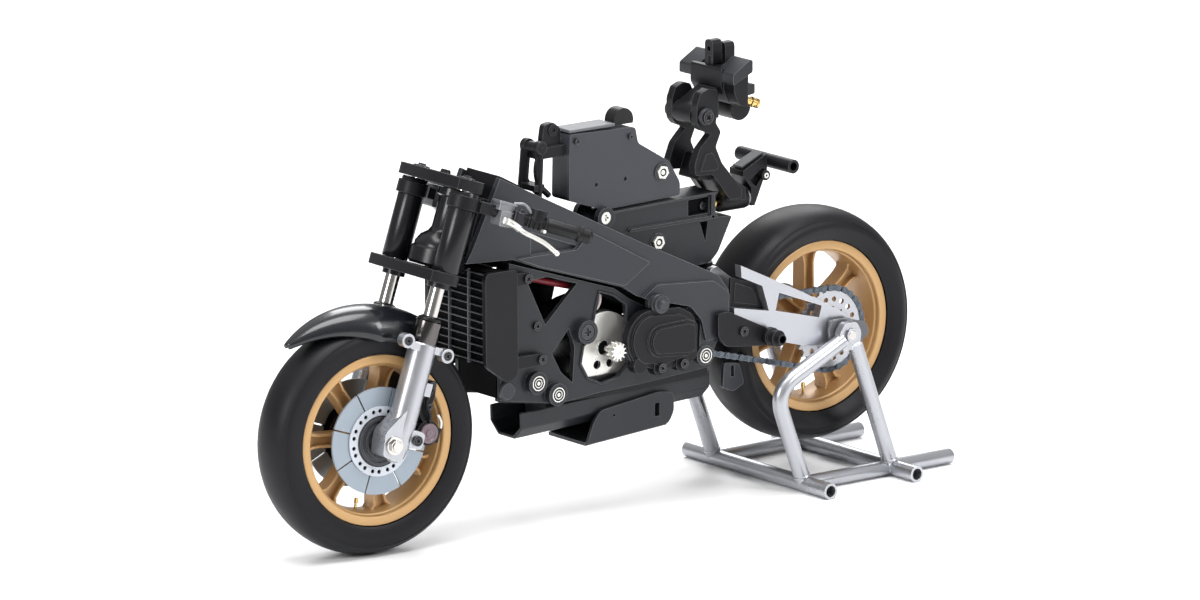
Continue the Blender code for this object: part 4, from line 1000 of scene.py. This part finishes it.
def hanger():
    """Plate with a slot that hangs behind the belly pan."""
    outline = rounded([(-43.3, 44.3), (-49.5, 43.4), (-51.7, 36.4), (-47.3, 34.3), (-42.8, 35.9)], 1.0)
    slot = [(-47.4, 43.0), (-46.0, 43.0), (-46.0, 39.3), (-47.4, 39.3)]
    # Painted shade: a flat black plate on each side, set where there is only shade.
    shade_backing = slab([(-19.0, 36.0), (-15.0, 36.0), (-15.0, 29.0), (-19.0, 29.0)], 8.0, 8.9)
    piece("bracket_painted_shade", both([shade_backing]), "dark", "chassis")
    piece("rear_hanger", [slab(outline, 10.4, 11.8, "Y", [slot])], "smooth", "chassis", bevel=0.2)


# Electronics carrier and seat rail


def carrier_pieces():
    outline = [
        (0.0, 98.8), (-45.0, 99.9), (-45.2, 91.2), (-52.0, 90.8), (-46.2, 79.5), (-43.0, 76.6),
        (-30.0, 75.6), (6.0, 86.0), (6.0, 95.0),
    ]
    window = [(-33.8, 98.2), (-42.2, 98.4), (-42.2, 93.0), (-33.8, 93.0)]
    rib_gap = [(-38.6, 90.4), (-42.0, 90.4), (-41.0, 83.6)]
    core = slab(rounded(outline, 1.0), -4.8, 4.8, "Y", [window, rib_gap])
    inside = span_box((-44.0, -2.6, 83.0), (-32.0, 2.6, 98.6))
    top = slab([(0.0, 98.3), (-45.0, 99.3), (-45.0, 99.9), (0.0, 98.9)], 4.6, 6.0)
    bottom = slab(rounded([(-9.0, 91.2), (-45.0, 91.2), (-45.0, 92.2), (-9.6, 92.2)], 0.3), 4.6, 6.0)
    post = span_box((-43.8, 4.6, 91.4), (-42.6, 6.0, 99.2))
    x, z = CARRIER_SCREW
    boss = pipe(3.4, 2.0, 4.6, 6.6, (x, 0, z))
    piece("carrier_frame", [core, *both([top, bottom, post, boss])], "plate", "chassis", ROW,
          ["upper_frame"], 0.22)
    # Painted shade: a flat black block inside the carrier, seen as shade through its window.
    piece("carrier_inside_painted_shade", [inside], "dark", "chassis")
    bright = [*nut((-21.2, 4.8, 86.2), 2.3), *nut((-23.1, 4.5, 109.0), 2.3),
              *fastener((x, 5.4, z), 2.0, "cross")]
    piece("bright_nuts", both(bright), "bright", "chassis", bevel=0.1)
    seats = [pipe(3.0, 2.3, 4.6, 5.0, place) for place in ((-21.2, 0, 86.2), (-23.1, 0, 109.0))]
    piece("nut_seats", both(seats), "screw", "chassis")


def servo_pieces():
    outline = [
        (14.2, 126.1), (-12.4, 125.2), (-13.5, 119.8), (-26.2, 112.2), (-30.7, 104.7), (-30.7, 100.4),
        (0.0, 99.6), (14.6, 104.4),
    ]
    small = [circle((3.5, 108.3), 0.7, 14), circle((-8.3, 108.7), 0.7, 14)]
    side = slab(rounded(outline, 1.2), 3.6, 4.5, "Y", small)
    core = slab(rounded(outline, 1.6), -3.7, 3.7)
    piece("servo_shell", [core, *both([side])], "case", "chassis", ROW, ["servo_case"], 0.3)
    knob = slab(circle((-9.2, 127.4), 4.0, 36, -18, 216), -2.4, 2.4)
    piece("rubber_dome", [knob], "rubber", "chassis", ROW, ["rubber_cap"], 0.7)
    screws = heads(((11.6, 4.4, 123.6), 1.0), ((-10.2, 4.4, 122.4), 0.9))
    piece("servo_screws", both(screws), "screw", "chassis")


def seat_details():
    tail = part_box("tail_tube")
    centre = (tail[0] + tail[1]) / (2 * MM)
    half = (tail[1].y - tail[0].y) / (2 * MM)
    tube_shape = pipe(2.3, 1.45, -half, half, centre)
    piece("open_tail_tube", [tube_shape, cylinder(1.6, 2 * half - 8, centre)], "nylon", "chassis", ROW,
          ["tail_tube"], 0.15)
    strip = slab([(-58.0, 105.0), (-66.8, 108.9), (-67.0, 109.7), (-57.8, 105.7)], -2.4, 2.4)
    piece("rail_strip", [strip], "smooth", "chassis", bevel=0.2)
    eyelet = pipe(1.7, 0.9, 3.2, 4.8, (-66.2, 0, 102.2))
    piece("rail_eyelets", both([eyelet]), "nylon", "chassis", bevel=0.15)
    piece("eyelet_pins", both([pipe(0.9, 0.4, 3.0, 5.0, (-66.2, 0, 102.2), steps=20)]), "bright", "chassis")


def foot_pegs():
    peg = turned([
        (0.0, 20.2), (2.9, 20.2), (3.0, 20.6), (3.0, 22.2), (2.3, 22.4), (2.3, 23.6), (2.7, 23.8),
        (2.7, 25.4), (1.7, 25.6), (1.7, 26.6), (1.2, 27.4), (0.0, 27.4),
    ], (-55.0, 0, 53.2))
    piece("stepped_pegs", both([peg]), "nylon", "chassis")
    piece("peg_screws", both(fastener((-44.2, 20.3, 56.3), 1.6)), "screw", "chassis", bevel=0.12)


# Hip mount


def hip_column_pieces():
    """Two side plates that carry the nod axis, a web between them and the hub of the lean axis."""
    x, z = HIP_TOP_AXIS.x, HIP_TOP_AXIS.z
    outline = rounded([
        (-34.9, 130.0), (-36.4, 133.6), (-39.4, 134.8), (-42.4, 134.2), (-43.8, 131.0), (-43.4, 126.6),
        (-42.6, 123.2), (-44.7, 120.0), (-42.6, 115.2), (-45.2, 109.6), (-50.0, 104.0), (-53.4, 100.4),
        (-53.4, 97.0), (-48.6, 97.0), (-41.5, 106.2), (-34.4, 106.8), (-33.9, 110.0), (-36.0, 115.3),
        (-40.6, 119.8), (-36.5, 121.5), (-34.9, 123.6),
    ], 0.7)
    plate = slab(outline, 5.0, 8.0, "Y", [circle((x, z), 1.5, 24)])
    facet = slab(rounded([
        (-36.0, 108.0), (-38.4, 113.4), (-41.0, 113.6), (-43.6, 109.2), (-43.0, 107.6),
    ], 0.7), 7.8, 8.5)
    web = slab(rounded([
        (-37.5, 104.4), (-40.4, 112.0), (-43.4, 112.0), (-48.0, 106.0), (-57.4, 99.4), (-57.4, 95.4),
        (-50.0, 96.0), (-45.0, 103.6),
    ], 0.8), -5.2, 5.2)
    hub = turned([(1.9, -5.6), (3.3, -5.6), (3.7, -5.0), (3.7, 5.0), (3.3, 5.6), (1.9, 5.6)],
                 (-54.9, 0, HIP_AXIS.z), "X")
    shapes = [*both([plate, facet]), web, hub]
    piece("hip_side_plates", shapes, "nylon", "hip_column", ROW, ["hip_column"], 0.35)
    end_ring = pipe(3.5, 2.4, -6.0, -5.5, (-54.9, 0, HIP_AXIS.z), "X")
    piece("hub_ring", [end_ring], "alloy", "hip_column")
    collar = turned([(1.6, 8.0), (2.6, 8.0), (2.9, 8.4), (2.9, 9.2), (2.5, 9.6), (1.6, 9.6)], (x, 0, z))
    piece("hip_collars", both([collar]), "plate", "hip_column")
    piece("hip_screws", both(fastener((x, 9.0, z), 2.0, height=1.2)), "screw", "hip_column", bevel=0.12)


def hip_yoke_pieces():
    """Block that nods between the side plates, with its wings, drum and buckle."""
    x, z = HIP_TOP_AXIS.x, HIP_TOP_AXIS.z
    tongue = slab([*circle((x, z), 3.6, 16, -90, 180), (-46.4, 134.4), (-46.4, 124.0)], -4.7, 4.7)
    body = slab(rounded([
        (-48.0, 129.0), (-44.8, 134.4), (-44.8, 140.6), (-56.0, 140.6), (-56.0, 128.4), (-52.0, 127.4),
    ], 0.8), -8.0, 8.0)
    left_block = slab(rounded([
        (-48.0, 129.2), (-45.8, 133.6), (-45.8, 138.0), (-51.6, 138.0), (-51.6, 128.2),
    ], 1.0), 7.8, 13.4)
    drum = turned([(0.0, -3.5), (3.8, -3.5), (4.2, -3.1), (4.2, 5.1), (3.8, 5.5), (0.0, 5.5)],
                  (-55.0, 0, 126.2))
    piece("hip_block", [tongue, body, left_block, drum], "nylon", "hip_yoke", ROW, ["hip_yoke"], 0.4)
    wing = slab(rounded([
        (-45.0, 136.0), (-45.0, 139.6), (-52.2, 143.8), (-53.0, 143.2), (-53.0, 139.6),
    ], 0.6), 5.2, 14.0)
    nub = slab(rounded([(-52.8, 131.4), (-52.8, 135.4), (-55.8, 135.0), (-55.8, 131.8)], 0.6), 8.0, 11.6)
    piece("hip_wings", both([wing, nub]), "plate", "hip_yoke", bevel=0.7)
    lobes = []
    for x, low, high, top in ((-48.3, -2.6, 1.6, 148.8), (-52.9, -2.2, 2.4, 147.6)):
        outline = rounded([(low, 140.0), (high, 140.0), (high, top), (low, top)], 1.8)
        lobes.append(slab(outline, x - 1.9, x + 1.9, "X", [circle(((low + high) / 2, top - 3.0), 0.9, 20)]))
    lobes.append(span_box((-54.8, -1.0, 140.0), (-46.4, 1.0, 143.6)))
    piece("belt_buckle", lobes, "nylon", "hip_yoke", bevel=0.3)
    nipple = turned([
        (0.5, 0.0), (1.3, 0.0), (1.3, 2.0), (1.7, 2.2), (1.7, 3.0), (1.3, 3.2), (1.3, 4.0), (1.6, 4.2),
        (1.6, 5.0), (0.8, 5.2), (0.8, 4.0), (0.5, 4.0),
    ], axis="Z", steps=32)
    piece("brass_nipple", [aimed(nipple, (-53.7, 9.2, 129.5), (-4.6, 0.6, -1.6))], "brass", "hip_yoke")


def hip_shaft_piece():
    ring = turned([(2.0, -0.8), (2.9, -0.8), (3.1, -0.4), (3.1, 0.4), (2.9, 0.8), (2.0, 0.8)],
                  (-46.4, 0, HIP_AXIS.z), "X")
    nose = turned([(0.0, -2.5), (2.3, -2.5), (2.3, 2.5), (0.0, 2.5)], (-43.6, 0, HIP_AXIS.z), "X")
    rod = turned([(0.0, -9.2), (1.4, -9.2), (1.6, -8.9), (1.6, 9.2), (0.0, 9.2)], (-54.2, 0, HIP_AXIS.z), "X")
    piece("turned_hip_shaft", [ring, nose, rod], "brass", "chassis", ROW, ["hip_shaft"])


def screen_stay():
    """Eyelets of the screen's stay, ahead of the servo case."""
    near = [pipe(2.2, 1.1, 2.2, 4.4, (25.4, 0, 123.0)), tube(smooth_path([
        (25.6, 3.3, 121.4), (26.8, 3.3, 116.0), (25.6, 3.3, 111.0), (21.6, 3.0, 107.0),
    ]), 1.0)]
    lug_eye = pipe(1.9, 0.8, -1.6, 1.6, (18.6, 0, 127.6))
    piece("stay_eyelets", [*both(near), lug_eye], "nylon", "chassis", bevel=0.2)


# Rear end


def shock_coil():
    turns, steps, wire, coil_radius = 5, 20, 0.5, 2.25
    axis_x, low, high = -44.2, 62.5, 69.1
    points = []
    for i in range(turns * steps + 1):
        share = i / (turns * steps)
        x, y = polar(coil_radius, 360 * turns * share)
        points.append((axis_x + x, y, low + (high - low) * share))
    obj = piece("coil_spring", [tube(points, wire, 3)], "bright", "chassis", ROW, ["shock_spring"])
    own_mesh(obj)


def stand_pieces():
    front_x, rear_x, end_x = -67.4, -104.4, -129.4
    low = STAND_TUBE
    cross_tubes = ((front_x, 37.3), (rear_x, 36.5))
    shapes = [pipe(STAND_TUBE, STAND_BORE, -half, half, (x, 0, low)) for x, half in cross_tubes]
    seams = []
    for y in (-STAND_Y, STAND_Y):
        rail = [(0.0, 0.0), (2.3, 0.0), (2.5, 0.4), (2.5, front_x - end_x), (0.0, front_x - end_x)]
        shapes.append(aimed(turned(rail, axis="Z"), (end_x, y, low), (1, 0, 0)))
        leg = bend((front_x, y, low), (-55.3, y, 35.2), (-83.4, y, 48.2), 8.5)
        shapes.append(tube(leg, 2.6, 10))
        shapes.append(tube([Vector((rear_x, y, low)), Vector((-88.4, y, 46.6))], 2.6, 10))
        hook = rounded([
            (-81.0, 50.6), (-83.4, 54.0), (-88.2, 54.0), (-90.2, 50.4), (-89.4, 45.0), (-82.6, 44.8),
        ], 1.4)
        shapes.append(slab(hook, y - 1.4, y + 1.4))
        for x, direction in ((front_x, Vector((12.1, 0, 32.55))), (rear_x, Vector((16.0, 0, 44.4)))):
            start = Vector((x, y, low)) + direction.normalized() * 3.1
            seams.append(aimed(turned(circle((2.62, 0.0), 0.32, 8), axis="Z", steps=36), start, direction))
    piece("welded_stand", shapes, "silver", "stand", ROW, ["paddock_stand"], 0.2)
    piece("weld_seams", seams, "silver", "stand")


def rear_details():
    ends = []
    for y in (21.0, 24.9):
        ends += fastener((REAR_AXLE.x, y, REAR_AXLE.z), 2.2, height=0.8)
    piece("rear_axle_heads", both(ends), "silver", "swingarm", bevel=0.1)
    liner = slab(rounded([(-43.0, 73.4), (-53.2, 69.8), (-56.6, 61.0), (-42.4, 63.4)], 0.6), 14.5, 15.5)
    window = slab(rounded([(-44.4, 71.4), (-51.6, 68.6), (-54.2, 62.8), (-44.0, 65.0)], 0.8), 15.4, 15.9)
    piece("swingarm_liners", both([liner, window]), "nylon", "swingarm", bevel=0.15)
    slider = slab(rounded([
        (-79.6, 51.4), (-80.2, 48.4), (-90.6, 47.6), (-91.4, 51.6), (-88.6, 54.6), (-81.6, 54.8),
    ], 0.8), 20.1, 20.7)
    piece("adjuster_faces", both([slider]), "alloy", "swingarm", bevel=0.2)


# Every other CAD node keeps its shape: node: (look, edge radius)
REFINED = {
    "frame_head": ("nylon", 0.5), "spar_left": ("smooth", 0.4), "spar_right": ("smooth", 0.4),
    "engine_plate_left": ("plate", 0.3), "engine_plate_right": ("plate", 0.3), "belly_pan": ("plate", 1.2),
    "lower_bracket": ("plate", 0.3), "battery": ("case", 0.4),
    "servo_lid": ("grey", 0.25), "cowl_stay": ("nylon", 0.3), "seat_rail": ("nylon", 0.3),
    "foot_peg_left": ("nylon", 0.25), "foot_peg_right": ("nylon", 0.25), "shock_body": ("nylon", 0.2),
    "lower_clamp": ("nylon", 0.5), "upper_clamp": ("nylon", 0.5), "swingarm": ("silver", 0.3),
    "rear_axle": ("steel", 0.2),
    "chain_adjuster_left": ("grey", 0.3), "chain_adjuster_right": ("grey", 0.3), "shock_rod": ("steel", 0.1),
    "spur_gear": ("case", 0.2), "drive_sprocket": ("chain", 0.15),
}


# Floor, light and camera


def studio():
    floor = bpy.data.meshes.new("studio_floor")
    reach = FLOOR_REACH
    corners = [(-reach, -reach, 0), (reach, -reach, 0), (reach, reach, 0), (-reach, reach, 0)]
    floor.from_pydata(corners, [], [(0, 1, 2, 3)])
    floor.materials.append(surface("pale_floor", (0.9, 0.9, 0.905), 0.55, grain=300.0, bump=0.01, shade=0.01))
    ground = bpy.data.objects.new("studio_floor", floor)
    bpy.context.scene.collection.objects.link(ground)
    for name, place, size, power in LIGHTS:
        data = bpy.data.lights.new(name, "AREA")
        data.shape = "SQUARE"
        data.size = size
        data.energy = power
        lamp = bpy.data.objects.new(name, data)
        lamp.location = place
        lamp.rotation_euler = (Vector(place) - TARGET).to_track_quat("Z", "Y").to_euler()
        bpy.context.scene.collection.objects.link(lamp)


def sky():
    """Even light from above that falls off towards the horizon, so that metal shows its form."""
    world = bpy.data.worlds.new("studio_light")
    bpy.context.scene.world = world
    world.use_nodes = True
    tree = world.node_tree
    direction = tree.nodes.new("ShaderNodeTexCoord")
    split = tree.nodes.new("ShaderNodeSeparateXYZ")
    ramp = tree.nodes.new("ShaderNodeValToRGB")
    stops = ramp.color_ramp.elements
    stops[0].position, stops[1].position = SKY_LEVELS[0][0], SKY_LEVELS[-1][0]
    for position, _ in SKY_LEVELS[1:-1]:
        stops.new(position)
    for stop, (_, level) in zip(stops, SKY_LEVELS):
        stop.color = (level, level, level, 1.0)
    tree.links.new(direction.outputs["Generated"], split.inputs["Vector"])
    tree.links.new(split.outputs["Z"], ramp.inputs["Fac"])
    tree.links.new(ramp.outputs["Color"], tree.nodes["Background"].inputs["Color"])


def camera():
    azimuth, elevation = math.radians(AZIMUTH), math.radians(ELEVATION)
    away = Vector((
        math.sin(azimuth) * math.cos(elevation), math.cos(azimuth) * math.cos(elevation), math.sin(elevation),
    ))
    data = bpy.data.cameras.new("photo_camera")
    data.lens = LENS
    data.sensor_width = SENSOR
    data.clip_end = FAR_CLIP
    viewer = bpy.data.objects.new("photo_camera", data)
    viewer.location = TARGET + away * DISTANCE
    viewer.rotation_euler = away.to_track_quat("Z", "Y").to_euler()
    bpy.context.scene.collection.objects.link(viewer)
    bpy.context.scene.camera = viewer


def build():
    camera()
    sky()
    studio()
    bpy.context.scene.view_settings.view_transform = "Standard"
    front_wheel()
    rear_wheel()
    roller_chain()
    fork_legs()
    steering_head()
    calipers()
    fender_piece()
    handlebars()
    radiator_piece()
    motor_pieces()
    wires()
    engine_details()
    engine_bay()
    gear_case_pieces()
    hanger()
    carrier_pieces()
    servo_pieces()
    seat_details()
    foot_pegs()
    screen_stay()
    hip_column_pieces()
    hip_yoke_pieces()
    hip_shaft_piece()
    shock_coil()
    stand_pieces()
    rear_details()
    for node, (look, bevel) in REFINED.items():
        refined(node, look, bevel)


build()
